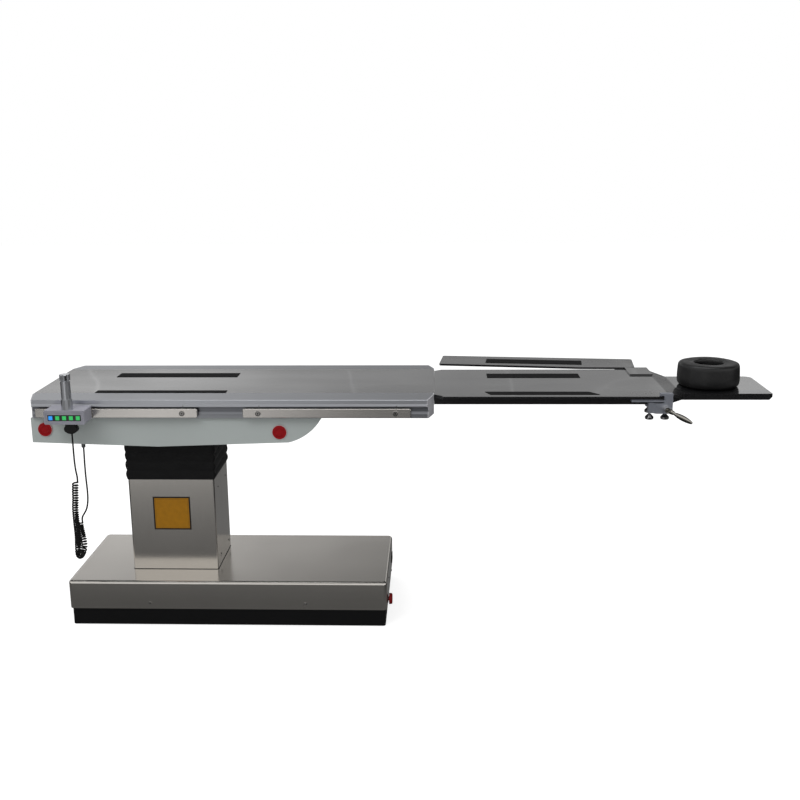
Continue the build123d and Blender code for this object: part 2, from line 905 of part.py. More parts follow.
with BuildPart() as drive_rod:
    with BuildSketch(Plane.YZ.offset(drive_right_x - drive_rod_tail)):
        with Locations((0, drive_z)):
            Circle(drive_rod_radius)
    extrude(amount=drive_bracket_x - drive_right_x + drive_rod_tail)
    box_between(
        (drive_bracket_x, -drive_bracket_width / 2, frame_top_z + drive_bracket_drop),
        (drive_bracket_x + drive_bracket_length, drive_bracket_width / 2, panel_bottom_z),
    )
drive_rod.part.label = "drive_rod"
export_step(drive_rod.part, "parts/drive_rod.step")

# Main panel of the top, bored for the extension's spigots
spigot_z = (panel_bottom_z + extension_top_z - extension_flange) / 2

with BuildPart() as main_panel:
    box_between(
        (top_left_x, -ridge_half_width, panel_bottom_z),
        (top_right_x, ridge_half_width, top_z),
    )
    with BuildSketch(Plane.YZ.offset(top_right_x)):
        with Locations((-spigot_y, spigot_z), (spigot_y, spigot_z)):
            Circle(spigot_radius + seat_gap)
    extrude(amount=-spigot_reach - spigot_end_gap, mode=Mode.SUBTRACT)
main_panel.part.label = "main_panel"
export_step(main_panel.part, "parts/main_panel.step")


def profile_section():
    """Section of the near side profile."""
    edge = -top_half_width
    with BuildSketch(Plane.YZ.offset(top_left_x)) as section:
        with BuildLine():
            Polyline(
                (-ridge_half_width, top_z),
                (edge + profile_edge, top_z - edge_drop),
                (edge, top_z - edge_drop - profile_edge),
                (edge, profile_face_z),
                (edge - profile_lip_reach, profile_lip_z),
                (edge - profile_lip_reach, profile_lip_bottom_z),
                (edge + profile_slot_inset, profile_lip_bottom_z),
                (edge + profile_slot_inset, profile_groove_z),
                (edge + profile_groove_inset, profile_groove_z),
                (edge + profile_groove_inset, profile_step_z),
                (edge + profile_slot_inset, profile_step_z),
                (edge + profile_foot_inset, profile_bevel_z),
                (edge + profile_foot_inset, profile_bottom_z),
                (-profile_inner, profile_bottom_z),
                (-profile_inner, panel_bottom_z),
                (-ridge_half_width, panel_bottom_z),
                close=True,
            )
        make_face()
    return section.sketch


def profile_chambers():
    """The profile's two hollow chambers."""
    inner_y = -profile_inner - profile_skin
    outer_y = -top_half_width + profile_slot_inset + profile_skin
    middle_y = (inner_y + outer_y) / 2
    low_height = profile_lip_bottom_z - profile_bottom_z - 3 * profile_skin
    high_height = top_z - profile_lip_bottom_z - 2 * profile_skin
    with BuildSketch(Plane.YZ.offset(top_left_x)) as chambers:
        with Locations((middle_y, profile_bottom_z + profile_skin + low_height / 2)):
            Rectangle(inner_y - outer_y, low_height)
        with Locations((middle_y, profile_lip_bottom_z + high_height / 2)):
            Rectangle(inner_y - outer_y, high_height)
    return chambers.sketch


def profile_plan(inset):
    """Plan of the near profile with its two cut corners, shortened by an inset."""
    cut_y = -top_half_width + corner_cut_width
    far_y = -top_half_width - corner_cut_width
    with BuildSketch(Plane.XY.offset(profile_bottom_z)) as plan:
        with BuildLine():
            Polyline(
                (top_left_x + inset, 0),
                (top_left_x + inset, cut_y),
                (top_left_x + inset + 2 * corner_cut_length, far_y),
                (top_right_x - inset - 2 * corner_cut_length, far_y),
                (top_right_x - inset, cut_y),
                (top_right_x - inset, 0),
                close=True,
            )
        make_face()
    return plan.sketch


# Side profiles
with BuildPart() as side_profiles:
    extrude(profile_section(), amount=top_right_x - top_left_x)
    extrude(profile_chambers(), amount=top_right_x - top_left_x, mode=Mode.SUBTRACT)
    extrude(profile_plan(end_cap_thickness), amount=top_z - profile_bottom_z, mode=Mode.INTERSECT)
    mirror(about=Plane.XZ)
side_profiles.part.label = "side_profiles"
export_step(side_profiles.part, "parts/side_profiles.step")

# End caps of the side profiles
with BuildPart() as profile_end_caps:
    extrude(profile_section(), amount=top_right_x - top_left_x)
    extrude(profile_plan(0), amount=top_z - profile_bottom_z, mode=Mode.INTERSECT)
    extrude(profile_plan(end_cap_thickness), amount=top_z - profile_bottom_z, mode=Mode.SUBTRACT)
    mirror(about=Plane.XZ)
profile_end_caps.part.label = "profile_end_caps"
export_step(profile_end_caps.part, "parts/profile_end_caps.step")

# Accessory rails, two on each side
rail_back_y = -top_half_width + profile_foot_inset - rail_standoff
rail_front_y = rail_back_y - rail_thickness
rail_middle_z = rail_bottom_z + rail_height / 2
rail_back = Plane.XZ.offset(-rail_back_y)
bolt_places = (
    rail_foot_start_x + bolt_inset,
    rail_foot_end_x - bolt_inset,
    rail_head_start_x + bolt_inset,
    rail_head_end_x - bolt_inset,
)

with BuildPart() as accessory_rails:
    for start_x, end_x in (
        (rail_foot_start_x, rail_foot_end_x),
        (rail_head_start_x, rail_head_end_x),
    ):
        with BuildSketch(rail_back):
            with Locations(((start_x + end_x) / 2, rail_middle_z)):
                RectangleRounded(end_x - start_x, rail_height, rail_corner)
        extrude(amount=rail_thickness)
    chamfer(accessory_rails.faces().filter_by(Axis.Y).edges(), rail_edge)
    hole_radius = bolt_shank_radius + bolt_hole_gap
    round_row(bolt_places, rail_middle_z, hole_radius, rail_thickness, rail_back, Mode.SUBTRACT)
    mirror(about=Plane.XZ)
accessory_rails.part.label = "accessory_rails"
export_step(accessory_rails.part, "parts/accessory_rails.step")

# Rail bolts with their spacers
with BuildPart() as rail_bolts:
    rail_front = Plane.XZ.offset(-rail_front_y)
    round_row(bolt_places, rail_middle_z, spacer_radius, -rail_standoff, rail_back)
    round_row(bolt_places, rail_middle_z, bolt_shank_radius, rail_thickness, rail_back)
    round_row(bolt_places, rail_middle_z, bolt_head_radius, bolt_head_height, rail_front)
    fillet(rail_bolts.faces().sort_by(Axis.Y)[0 : len(bolt_places)].edges(), bolt_head_dome)
    mirror(about=Plane.XZ)
rail_bolts.part.label = "rail_bolts"
export_step(rail_bolts.part, "parts/rail_bolts.step")

# Spigots that carry the extension
extension_start_x = top_right_x + extension_gap

with BuildPart() as extension_spigots:
    with BuildSketch(Plane.YZ.offset(top_right_x - spigot_reach)):
        with Locations((-spigot_y, spigot_z), (spigot_y, spigot_z)):
            Circle(spigot_radius)
    extrude(amount=2 * spigot_reach + extension_gap)
extension_spigots.part.label = "extension_spigots"
export_step(extension_spigots.part, "parts/extension_spigots.step")


def lofted(start_x, start_half, start_low, start_high, end_x, end_half, end_low, end_high):
    """A straight loft between two upright rectangles across the table."""
    with BuildSketch(Plane.YZ.offset(start_x)) as start:
        with Locations((0, (start_low + start_high) / 2)):
            Rectangle(2 * start_half, start_high - start_low)
    with BuildSketch(Plane.YZ.offset(end_x)) as end:
        with Locations((0, (end_low + end_high) / 2)):
            Rectangle(2 * end_half, end_high - end_low)
    loft([start.sketch.face(), end.sketch.face()], ruled=True)


# Extension panel with its step and head plate
flange_z = extension_top_z - extension_flange
head_split_z = (head_top_z + head_bottom_z) / 2

with BuildPart() as extension_panel:
    with BuildSketch(Plane.XY.offset(flange_z)):
        with BuildLine():
            Polyline(
                (extension_start_x, -extension_half_width + extension_corner_width),
                (extension_start_x + extension_corner_length, -extension_half_width),
                (taper_start_x, -extension_half_width),
                (taper_start_x, extension_half_width),
                (extension_start_x + extension_corner_length, extension_half_width),
                (extension_start_x, extension_half_width - extension_corner_width),
                close=True,
            )
        make_face()
    extrude(amount=extension_flange)
    box_between(
        (extension_start_x, -extension_body_half, panel_bottom_z),
        (taper_start_x, extension_body_half, flange_z),
    )
    lofted(
        taper_start_x, extension_half_width, flange_z, extension_top_z,
        head_start_x, head_half_width, head_split_z, head_top_z,
    )
    lofted(
        taper_start_x, extension_body_half, panel_bottom_z, flange_z,
        head_start_x, head_half_width, head_bottom_z, head_split_z,
    )
    box_between(
        (head_start_x, -head_half_width, head_bottom_z),
        (head_end_x, head_half_width, head_top_z),
    )
    head_under = extension_panel.faces().sort_by(Axis.X)[-1].edges().sort_by(Axis.Z)[0]
    chamfer(head_under, head_under_edge)
    head_corners = extension_panel.edges().filter_by(Axis.Z).sort_by(Axis.X)[-2:].sort_by(Axis.Y)
    fillet(head_corners[0], head_near_corner)
    head_corners = extension_panel.edges().filter_by(Axis.Z).sort_by(Axis.X)[-4:].sort_by(Axis.Y)
    fillet(head_corners[-1], head_far_corner)
    flange_edges = extension_panel.edges().filter_by(Axis.X).filter_by_position(
        Axis.Z, extension_top_z - seat_gap, extension_top_z + seat_gap
    )
    chamfer(flange_edges, extension_edge)
    with BuildSketch(Plane.YZ.offset(extension_start_x)):
        with Locations((-spigot_y, spigot_z), (spigot_y, spigot_z)):
            Circle(spigot_radius + seat_gap)
    extrude(amount=spigot_reach + spigot_end_gap, mode=Mode.SUBTRACT)
extension_panel.part.label = "extension_panel"
export_step(extension_panel.part, "parts/extension_panel.step")


def strip(plane, near_x, far_x, y_span):
    """A grip strip between the ends of its near edge and those of its far edge."""
    with BuildSketch(plane) as outline:
        with BuildLine():
            Polyline(
                (near_x[0], y_span[0]),
                (near_x[1], y_span[0]),
                (far_x[1], y_span[1]),
                (far_x[0], y_span[1]),
                close=True,
            )
        make_face()
    extrude(outline.sketch, amount=strip_thickness)


# Grip strips
with BuildPart() as grip_strips:
    main_top = Plane.XY.offset(top_z)
    strip(main_top, strip_far_x, strip_far_x, strip_far_y)
    strip(main_top, strip_near_x, strip_near_x, strip_near_y)
    extension_top = Plane.XY.offset(extension_top_z)
    strip(extension_top, strip_extension_far_x, strip_extension_far_x, strip_extension_far_y)
    strip(extension_top, strip_extension_near_x, strip_extension_inner_x, strip_extension_near_y)
grip_strips.part.label = "grip_strips"
export_step(grip_strips.part, "parts/grip_strips.step")

# Arm bracket: a plate on the extension, stepping down to a lug and pin under the board
bracket_top_z = extension_top_z + bracket_thickness
board_bottom_z = bracket_top_z - board_thickness
lug_top_z = board_bottom_z - seat_gap
lug_start_y = extension_half_width + seat_gap

with BuildPart() as arm_bracket:
    with BuildSketch(Plane.XY.offset(extension_top_z)):
        with Locations(((bracket_left_x + bracket_right_x) / 2, (bracket_near_y + bracket_far_y) / 2)):
            RectangleRounded(
                bracket_right_x - bracket_left_x,
                bracket_far_y - bracket_near_y,
                bracket_radius,
            )
    extrude(amount=bracket_thickness)
    box_between(
        (bracket_left_x + bracket_radius, lug_start_y, lug_top_z - arm_lug_thickness),
        (bracket_right_x - bracket_radius, bracket_far_y - bracket_radius, extension_top_z),
    )
    with BuildSketch(Plane.XY.offset(lug_top_z - arm_lug_thickness)):
        with Locations((arm_pivot_x, arm_pivot_y)):
            Circle(arm_lug_radius)
        with Locations((arm_pivot_x, (arm_pivot_y + lug_start_y) / 2)):
            Rectangle(2 * arm_lug_radius, arm_pivot_y - lug_start_y)
    extrude(amount=arm_lug_thickness)
    with BuildSketch(Plane.XY.offset(lug_top_z)):
        with Locations((arm_pivot_x, arm_pivot_y)):
            Circle(arm_pin_radius)
    extrude(amount=arm_pin_height)
arm_bracket.part.label = "arm_bracket"
export_step(arm_bracket.part, "parts/arm_bracket.step")

# Arm board, its near corner cut round the pivot so that it swings past the bracket
board_plane = Plane(
    origin=(arm_pivot_x, arm_pivot_y, board_bottom_z),
    x_dir=(math.cos(math.radians(-board_angle)), math.sin(math.radians(-board_angle)), 0),
    z_dir=(0, 0, 1),
)

cut_angle = math.asin(board_head_length / board_swing_radius)
cut_start = (0, -board_swing_radius)
cut_middle = (board_swing_radius * math.sin(cut_angle / 2), -board_swing_radius * math.cos(cut_angle / 2))
cut_end = (board_head_length, -board_swing_radius * math.cos(cut_angle))

with BuildPart() as arm_board:
    with BuildSketch(board_plane):
        with BuildLine():
            Polyline(
                cut_end,
                (board_head_length, board_far_half),
                (-board_foot_length, board_far_half),
                (-board_foot_length, -board_near_half),
                (board_bulge_x, board_bulge_y),
                cut_start,
            )
            ThreePointArc(cut_start, cut_middle, cut_end)
        make_face()
        outer_corners = vertices().sort_by(Axis.X)
        far_corner = outer_corners[-2:].sort_by(Axis.Y)[-1]
        fillet([outer_corners[0], outer_corners[1], far_corner], board_radius)
    extrude(amount=board_thickness)
    with BuildSketch(Plane.XY.offset(board_bottom_z)):
        with Locations((arm_pivot_x, arm_pivot_y)):
            Circle(arm_pin_radius + running_gap)
    extrude(amount=arm_pin_height - seat_gap + arm_pin_end_gap, mode=Mode.SUBTRACT)
arm_board.part.label = "arm_board"
export_step(arm_board.part, "parts/arm_board.step")

with BuildPart() as arm_board_strip:
    strip(board_plane.offset(board_thickness), board_strip_x, board_strip_x, board_strip_y)
arm_board_strip.part.label = "arm_board_strip"
export_step(arm_board_strip.part, "parts/arm_board_strip.step")

# Head ring cushion on the head plate
ring_bottom_z = head_top_z + seat_gap

with BuildPart() as head_ring:
    with BuildSketch(Plane.XZ):
        with BuildLine():
            Polyline(
                (ring_x + ring_inner, ring_bottom_z),
                (ring_x + ring_outer, ring_bottom_z),
                (ring_x + ring_outer, ring_bottom_z + ring_height),
                (ring_x + ring_inner, ring_bottom_z + ring_height),
                close=True,
            )
        make_face()
        outer_corners = vertices().sort_by(Axis.X)[-2:].sort_by(Axis.Y)
        fillet(outer_corners[-1], ring_top_round)
        fillet(outer_corners[0], ring_bottom_round)
        fillet(vertices().sort_by(Axis.X)[0:2], ring_bore_round)
    revolve(axis=Axis((ring_x, 0, 0), (0, 0, 1)))
head_ring.part.label = "head_ring"
export_step(head_ring.part, "parts/head_ring.step")

# Clamp body round the extension's near flange
clamp_back_y = -extension_half_width - seat_gap
clamp_front_y = clamp_back_y - clamp_wall
clamp_lip_z = extension_top_z + seat_gap
clamp_jaw_z = flange_z - seat_gap
clamp_block_z = clamp_jaw_z - clamp_jaw_thickness - clamp_slot
clamp_low_z = panel_bottom_z - seat_gap

with BuildPart() as clamp_body:
    with BuildSketch(Plane.XZ.offset(-clamp_back_y)):
        with BuildLine():
            Polyline(
                (clamp_wall_x, clamp_bottom_z),
                (clamp_right_x, clamp_bottom_z),
                (clamp_right_x, clamp_lip_z + clamp_lip_height),
                (clamp_lip_x, clamp_lip_z + clamp_lip_height),
                (clamp_wall_x, clamp_lip_z),
                close=True,
            )
        make_face()
    extrude(amount=clamp_wall)
    with BuildSketch(Plane.XY.offset(clamp_lip_z)):
        with BuildLine():
            Polyline(
                (clamp_lip_x, clamp_back_y),
                (clamp_right_x, clamp_back_y),
                (clamp_right_x, clamp_back_y + clamp_lip_reach),
                (clamp_lip_x, clamp_back_y + clamp_lip_reach),
                close=True,
            )
        make_face()
    extrude(amount=clamp_lip_height)
    box_between(
        (clamp_jaw_left_x, clamp_front_y, clamp_jaw_z - clamp_jaw_thickness),
        (taper_start_x - seat_gap, clamp_back_y + clamp_jaw_reach, clamp_jaw_z),
    )
    for block_back_y, block_top_z in (
        (clamp_back_y + clamp_jaw_reach, clamp_block_z),
        (clamp_front_y + clamp_block_depth, clamp_low_z),
    ):
        with BuildSketch(Plane.XY.offset(clamp_bottom_z)):
            with BuildLine():
                Polyline(
                    (clamp_left_x, block_back_y),
                    (clamp_left_x, clamp_front_y + clamp_block_edge),
                    (clamp_left_x + clamp_block_edge, clamp_front_y),
                    (clamp_right_x, clamp_front_y),
                    (clamp_right_x, block_back_y),
                    close=True,
                )
            make_face()
        extrude(amount=block_top_z - clamp_bottom_z)
    lug_front_y = clamp_front_y + lug_front_inset
    box_between(
        (lug_left_x, lug_front_y, clamp_bottom_z),
        (clamp_left_x, lug_front_y + lug_depth, clamp_block_z),
    )
    box_between(
        (rear_lug_left_x, knob_places[2][1] - lug_depth / 2, clamp_bottom_z),
        (clamp_left_x, knob_places[2][1] + lug_depth / 2, clamp_low_z),
    )
    with BuildSketch(Plane.XY.offset(clamp_bottom_z)):
        with Locations(*knob_places):
            Circle(knob_stem_radius + running_gap)
    extrude(amount=knob_thread_depth + thread_end_gap, mode=Mode.SUBTRACT)
    with BuildSketch(Plane.XZ.offset(-clamp_front_y)):
        with Locations((lever_x, lever_z)):
            Circle(lever_pin_radius + running_gap)
    extrude(amount=-lever_pin_depth - thread_end_gap, mode=Mode.SUBTRACT)
clamp_body.part.label = "clamp_body"
export_step(clamp_body.part, "parts/clamp_body.step")


def thumb_knob(place):
    """A mushroom knob under the clamp, its threaded stem running up into it."""
    root = Plane((*place, clamp_bottom_z), x_dir=(1, 0, 0), z_dir=(0, 1, 0))
    knob_end = knob_stem_length + knob_height
    with BuildPart() as knob:
        with BuildSketch(root):
            with BuildLine():
                Polyline(
                    (0, -knob_thread_depth),
                    (knob_stem_radius, -knob_thread_depth),
                    (knob_stem_radius, knob_stem_length),
                    (knob_neck_radius, knob_stem_length),
                    (knob_radius - knob_edge, knob_stem_length + knob_shoulder_share * knob_height),
                    (knob_radius, knob_stem_length + knob_shoulder_share * knob_height + knob_edge),
                    (knob_radius, knob_end - knob_edge),
                    (knob_radius - knob_edge, knob_end),
                    (0, knob_end),
                    close=True,
                )
            make_face()
        revolve(axis=Axis(root.origin, (0, 0, 1)))
    return knob


# Thumb knobs under the clamp: two in front and one at its rear
knob_foot = thumb_knob(knob_places[0])
knob_foot.part.label = "knob_foot"
export_step(knob_foot.part, "parts/knob_foot.step")

knob_head = thumb_knob(knob_places[1])
knob_head.part.label = "knob_head"
export_step(knob_head.part, "parts/knob_head.step")

knob_rear = thumb_knob(knob_places[2])
knob_rear.part.label = "knob_rear"
export_step(knob_rear.part, "parts/knob_rear.step")

# Clamp lever: pin, hub and a tapered oval handle
lever_direction = (math.cos(math.radians(lever_angle)), 0, math.sin(math.radians(lever_angle)))
lever_middle_y = clamp_front_y - seat_gap - lever_hub_height / 2
lever_neck_start = lever_ring_radius
lever_plane = Plane((lever_x, lever_middle_y, lever_z), x_dir=lever_direction, z_dir=(0, -1, 0))

with BuildPart() as clamp_lever:
    with BuildSketch(Plane.XZ.offset(-clamp_front_y + seat_gap)):
        with Locations((lever_x, lever_z)):
            Circle(lever_hub_radius)
    extrude(amount=lever_hub_height)
    with BuildSketch(Plane.XZ.offset(-clamp_front_y + seat_gap + lever_hub_height)):
        with Locations((lever_x, lever_z)):
            Circle(lever_ring_radius)
            Circle(lever_screw_radius, mode=Mode.SUBTRACT)
    extrude(amount=-lever_ring_depth, mode=Mode.SUBTRACT)
    with BuildSketch(Plane.XZ.offset(-clamp_front_y + seat_gap)):
        with Locations((lever_x, lever_z)):
            Circle(lever_pin_radius)
    extrude(amount=-lever_pin_depth - seat_gap)
    with BuildSketch(lever_plane):
        with BuildLine():
            grip_end = lever_grip_start + lever_grip_length
            belly_x = lever_grip_start + lever_belly_share * lever_grip_length
            neck = [(grip_end, 0), (lever_neck_start, 0), (lever_neck_start, lever_neck_radius)]
            for collar_start, collar_radius, collar_length in lever_collars:
                neck.append((collar_start, lever_neck_radius))
                neck.append((collar_start, collar_radius))
                neck.append((collar_start + collar_length, collar_radius))
                neck.append((collar_start + collar_length, lever_neck_radius))
            neck.append((lever_grip_start, lever_neck_radius))
            Polyline(*neck)
            ThreePointArc(
                (lever_grip_start, lever_neck_radius),
                (belly_x, lever_grip_radius),
                (grip_end, lever_tip_radius),
            )
            Line((grip_end, lever_tip_radius), (grip_end, 0))
        make_face()
    revolve(axis=Axis((lever_x, lever_middle_y, lever_z), lever_direction))
clamp_lever.part.label = "clamp_lever"
export_step(clamp_lever.part, "parts/clamp_lever.step")

# Control box: a casing open at the front
box_middle_z = box_bottom_z + box_height / 2
window_z = box_middle_z - window_drop
box_depth = box_back_y - box_front_y
face_back_y = box_front_y + face_recess + face_thickness

with BuildPart() as box_casing:
    with BuildSketch(Plane.XZ.offset(-box_back_y)):
        with Locations((box_x, box_middle_z)):
            RectangleRounded(box_width, box_height, box_edge)
    extrude(amount=box_depth)
    with BuildSketch(Plane.XZ.offset(-box_front_y)):
        with Locations((box_x, window_z)):
            RectangleRounded(window_width, window_height, box_edge)
    extrude(amount=-face_recess, mode=Mode.SUBTRACT)
    with BuildSketch(Plane.XZ.offset(-box_front_y)):
        with Locations((box_x, window_z)):
            RectangleRounded(face_width, face_height, button_edge)
    extrude(amount=-face_recess - face_thickness, mode=Mode.SUBTRACT)
    with BuildSketch(Plane.XZ.offset(-face_back_y)):
        with Locations((box_x, window_z)):
            RectangleRounded(window_width - 2 * box_wall, window_height - 2 * box_wall, box_edge)
    extrude(amount=-(box_back_y - face_back_y - box_wall), mode=Mode.SUBTRACT)
box_casing.part.label = "box_casing"
export_step(box_casing.part, "parts/box_casing.step")

# Dark face plate with a slot for the five buttons
with BuildPart() as box_face:
    with BuildSketch(Plane.XZ.offset(-face_back_y)):
        with Locations((box_x, window_z)):
            RectangleRounded(face_width, face_height, button_edge)
    extrude(amount=face_thickness)
    button_places = [box_x + (number - 2) * button_pitch for number in range(5)]
    with BuildSketch(Plane.XZ.offset(-face_back_y)):
        with Locations(*[(place, window_z) for place in button_places]):
            RectangleRounded(button_width + 2 * button_gap, button_height + 2 * button_gap, button_edge)
    extrude(amount=face_thickness, mode=Mode.SUBTRACT)
box_face.part.label = "box_face"
export_step(box_face.part, "parts/box_face.step")

# Five lit buttons
button_front_y = face_back_y - face_thickness - button_proud
button_names = ("button_1", "button_2", "button_3", "button_4", "button_5")

for button_name, place in zip(button_names, button_places):
    with BuildPart() as button:
        with BuildSketch(Plane.XZ.offset(-button_front_y)):
            with Locations((place, window_z)):
                RectangleRounded(button_width, button_height, button_edge)
        extrude(amount=-button_depth)
    button.part.label = button_name
    export_step(button.part, "parts/" + button_name + ".step")

# Hook that hangs the box on the rail
hook_top_z = rail_bottom_z + rail_height + seat_gap

with BuildPart() as box_hook:
    with BuildSketch(Plane.YZ.offset(box_x - box_width / 2)):
        with BuildLine():
            back_y = rail_back_y + seat_gap
            Polyline(
                (box_back_y, box_bottom_z),
                (box_back_y, hook_top_z + hook_height),
                (back_y + hook_lip, hook_top_z + hook_height),
                (back_y + hook_lip, hook_top_z - hook_lip_drop),
                (back_y, hook_top_z - hook_lip_drop),
                (back_y, hook_top_z),
                (rail_front_y - seat_gap, hook_top_z),
                (rail_front_y - seat_gap, box_bottom_z),
                close=True,
            )
        make_face()
    extrude(amount=box_width)
    round_row(
        bolt_places[0:1],
        rail_middle_z,
        bolt_head_radius + seat_gap,
        -box_width,
        Plane.XZ.offset(-box_back_y),
        Mode.SUBTRACT,
    )
box_hook.part.label = "box_hook"
export_step(box_hook.part, "parts/box_hook.step")

# Grip post: a faceted collar and a round post with a bore for the cap's stem
box_top_z = box_bottom_z + box_height
grip_taper = math.degrees(math.atan((grip_low_radius - grip_high_radius) / (grip_top_z - box_top_z)))

with BuildPart() as grip_post:
    with BuildSketch(Plane.XY.offset(box_top_z)):
        with Locations((grip_x, grip_y)):
            RegularPolygon(grip_collar_radius, grip_collar_sides)
    extrude(amount=grip_collar_height)
    with BuildSketch(Plane.XY.offset(box_top_z)):
        with Locations((grip_x, grip_y)):
            Circle(grip_low_radius)
    extrude(amount=grip_top_z - box_top_z, taper=grip_taper)
    with BuildSketch(Plane.XY.offset(grip_top_z)):
        with Locations((grip_x, grip_y)):
            Circle(grip_bore + running_gap)
    extrude(amount=-grip_bore_depth, mode=Mode.SUBTRACT)
grip_post.part.label = "grip_post"
export_step(grip_post.part, "parts/grip_post.step")

# Fluted cap on the grip post, with its stem
with BuildPart() as grip_cap:
    with BuildSketch(Plane.XY.offset(grip_top_z + grip_cap_gap)):
        with Locations((grip_x, grip_y)):
            Circle(grip_cap_radius)
    extrude(amount=grip_cap_top_z - grip_top_z - grip_cap_gap)
    fillet(grip_cap.faces().sort_by(Axis.Z)[-1].edges(), grip_cap_dome)
    with BuildSketch(Plane.XY.offset(grip_top_z + grip_cap_gap)):
        with Locations((grip_x, grip_y)):
            with PolarLocations(grip_cap_radius + grip_flute_share * grip_flute_radius, grip_flutes):
                Circle(grip_flute_radius)
    extrude(amount=grip_cap_top_z - grip_top_z, mode=Mode.SUBTRACT)
    with BuildSketch(Plane.XY.offset(grip_top_z + grip_cap_gap)):
        with Locations((grip_x, grip_y)):
            Circle(grip_bore)
    extrude(amount=-grip_stem_length)
grip_cap.part.label = "grip_cap"
export_step(grip_cap.part, "parts/grip_cap.step")

# Emergency stop on the base's head end
stop_face_x = base_length / 2

with BuildPart() as stop_collar:
    with BuildSketch(Plane.YZ.offset(stop_face_x)):
        with Locations((stop_y, stop_z)):
            Circle(stop_collar_radius)
    extrude(amount=stop_collar_height)
    with BuildSketch(Plane.YZ.offset(stop_face_x)):
        with Locations((stop_y, stop_z)):
            Circle(stop_sleeve_radius)
    extrude(amount=-stop_sleeve_depth)
    with BuildSketch(Plane.YZ.offset(stop_face_x + stop_collar_height)):
        with Locations((stop_y, stop_z)):
            Circle(stop_stem_radius + running_gap)
    extrude(amount=-stop_collar_height - stop_sleeve_depth, mode=Mode.SUBTRACT)
stop_collar.part.label = "stop_collar"
export_step(stop_collar.part, "parts/stop_collar.step")

# Its mushroom head, hollowed to close over the collar
stop_cap_x = stop_face_x + stop_travel + seat_gap

with BuildPart() as stop_button:
    with BuildSketch(Plane.YZ.offset(stop_cap_x)):
        with Locations((stop_y, stop_z)):
            Circle(stop_cap_radius)
    extrude(amount=stop_cap_height)
    fillet(stop_button.faces().sort_by(Axis.X)[-1].edges(), stop_cap_round)
    with BuildSketch(Plane.YZ.offset(stop_cap_x)):
        with Locations((stop_y, stop_z)):
            Circle(stop_collar_radius + stop_recess_gap)
    extrude(amount=stop_collar_height + seat_gap, mode=Mode.SUBTRACT)
    with BuildSketch(Plane.YZ.offset(stop_cap_x + stop_collar_height + seat_gap)):
        with Locations((stop_y, stop_z)):
            Circle(stop_stem_radius)
    extrude(amount=-stop_stem_depth)
stop_button.part.label = "stop_button"
export_step(stop_button.part, "parts/stop_button.step")

# Power inlet beside it
with BuildPart() as power_inlet:
    with BuildSketch(Plane.YZ.offset(stop_face_x)):
        with Locations((inlet_y, inlet_z)):
            RectangleRounded(inlet_width, inlet_height, inlet_flange)
    extrude(amount=inlet_flange)
    with BuildSketch(Plane.YZ.offset(stop_face_x)):
        with Locations((inlet_y, inlet_z)):
            Rectangle(
                inlet_width - 2 * (inlet_flange + seat_gap),
                inlet_height - 2 * (inlet_flange + seat_gap),
            )
    extrude(amount=-inlet_depth)
    with BuildSketch(Plane.YZ.offset(stop_face_x + inlet_flange)):
        with Locations((inlet_y, inlet_z)):
            RectangleRounded(inlet_socket_width, inlet_socket_height, inlet_flange)
    extrude(amount=-inlet_socket_depth, mode=Mode.SUBTRACT)
power_inlet.part.label = "power_inlet"
export_step(power_inlet.part, "parts/power_inlet.step")

# Screws of the covers: two near, two far, and two on each end of the column
with BuildPart() as cover_screws:
    round_row(
        (-cover_screw_x, cover_screw_x),
        cover_screw_z,
        small_screw_radius,
        small_screw_height,
        Plane.XZ.offset(base_width / 2),
    )
    fillet(cover_screws.faces().sort_by(Axis.Y)[0:2].edges(), small_screw_round)
    mirror(about=Plane.XZ)
    round_row(
        column_screw_y,
        column_screw_z,
        small_screw_radius,
        small_screw_height,
        Plane.YZ.offset(column_x + column_length / 2),
    )
    round_row(
        column_screw_y,
        column_screw_z,
        small_screw_radius,
        -small_screw_height,
        Plane.YZ.offset(column_x - column_length / 2),
    )
    end_faces = cover_screws.faces().filter_by(Plane.YZ).sort_by(Axis.X)
    fillet((end_faces[0:2] + end_faces[-2:]).edges(), small_screw_round)
cover_screws.part.label = "cover_screws"
export_step(cover_screws.part, "parts/cover_screws.step")

# Pump unit: a tank block with its motor on one end
pump_x = casting_length / 2 - pump_end_gap - pump_motor_length - pump_length / 2

with BuildPart() as pump_unit:
    box_between(
        (pump_x - pump_length / 2, -pump_width / 2, casting_thickness),
        (pump_x + pump_length / 2, pump_width / 2, casting_thickness + pump_height),
    )
    chamfer(pump_unit.edges().filter_by(Axis.Z), pump_edge)
    with BuildSketch(Plane.YZ.offset(pump_x + pump_length / 2)):
        with Locations((0, casting_thickness + pump_motor_radius)):
            Circle(pump_motor_radius)
    extrude(amount=pump_motor_length)
pump_unit.part.label = "pump_unit"
export_step(pump_unit.part, "parts/pump_unit.step")

# Power supply and battery block
supply_x = -casting_length / 2 + supply_end_gap + supply_length / 2

with BuildPart() as power_supply:
    box_between(
        (supply_x - supply_length / 2, -supply_width / 2, casting_thickness),
        (supply_x + supply_length / 2, supply_width / 2, casting_thickness + supply_height),
    )
    chamfer(power_supply.edges().filter_by(Axis.Z), supply_edge)
power_supply.part.label = "power_supply"
export_step(power_supply.part, "parts/power_supply.step")

# Cord gland in the housing's underside, its flange cut along the slope
underside = Plane(
    origin=(gland_place[0], 0, gland_seat_z),
    x_dir=(1, 0, underside_slope),
    z_dir=(-underside_slope, 0, 1),
)

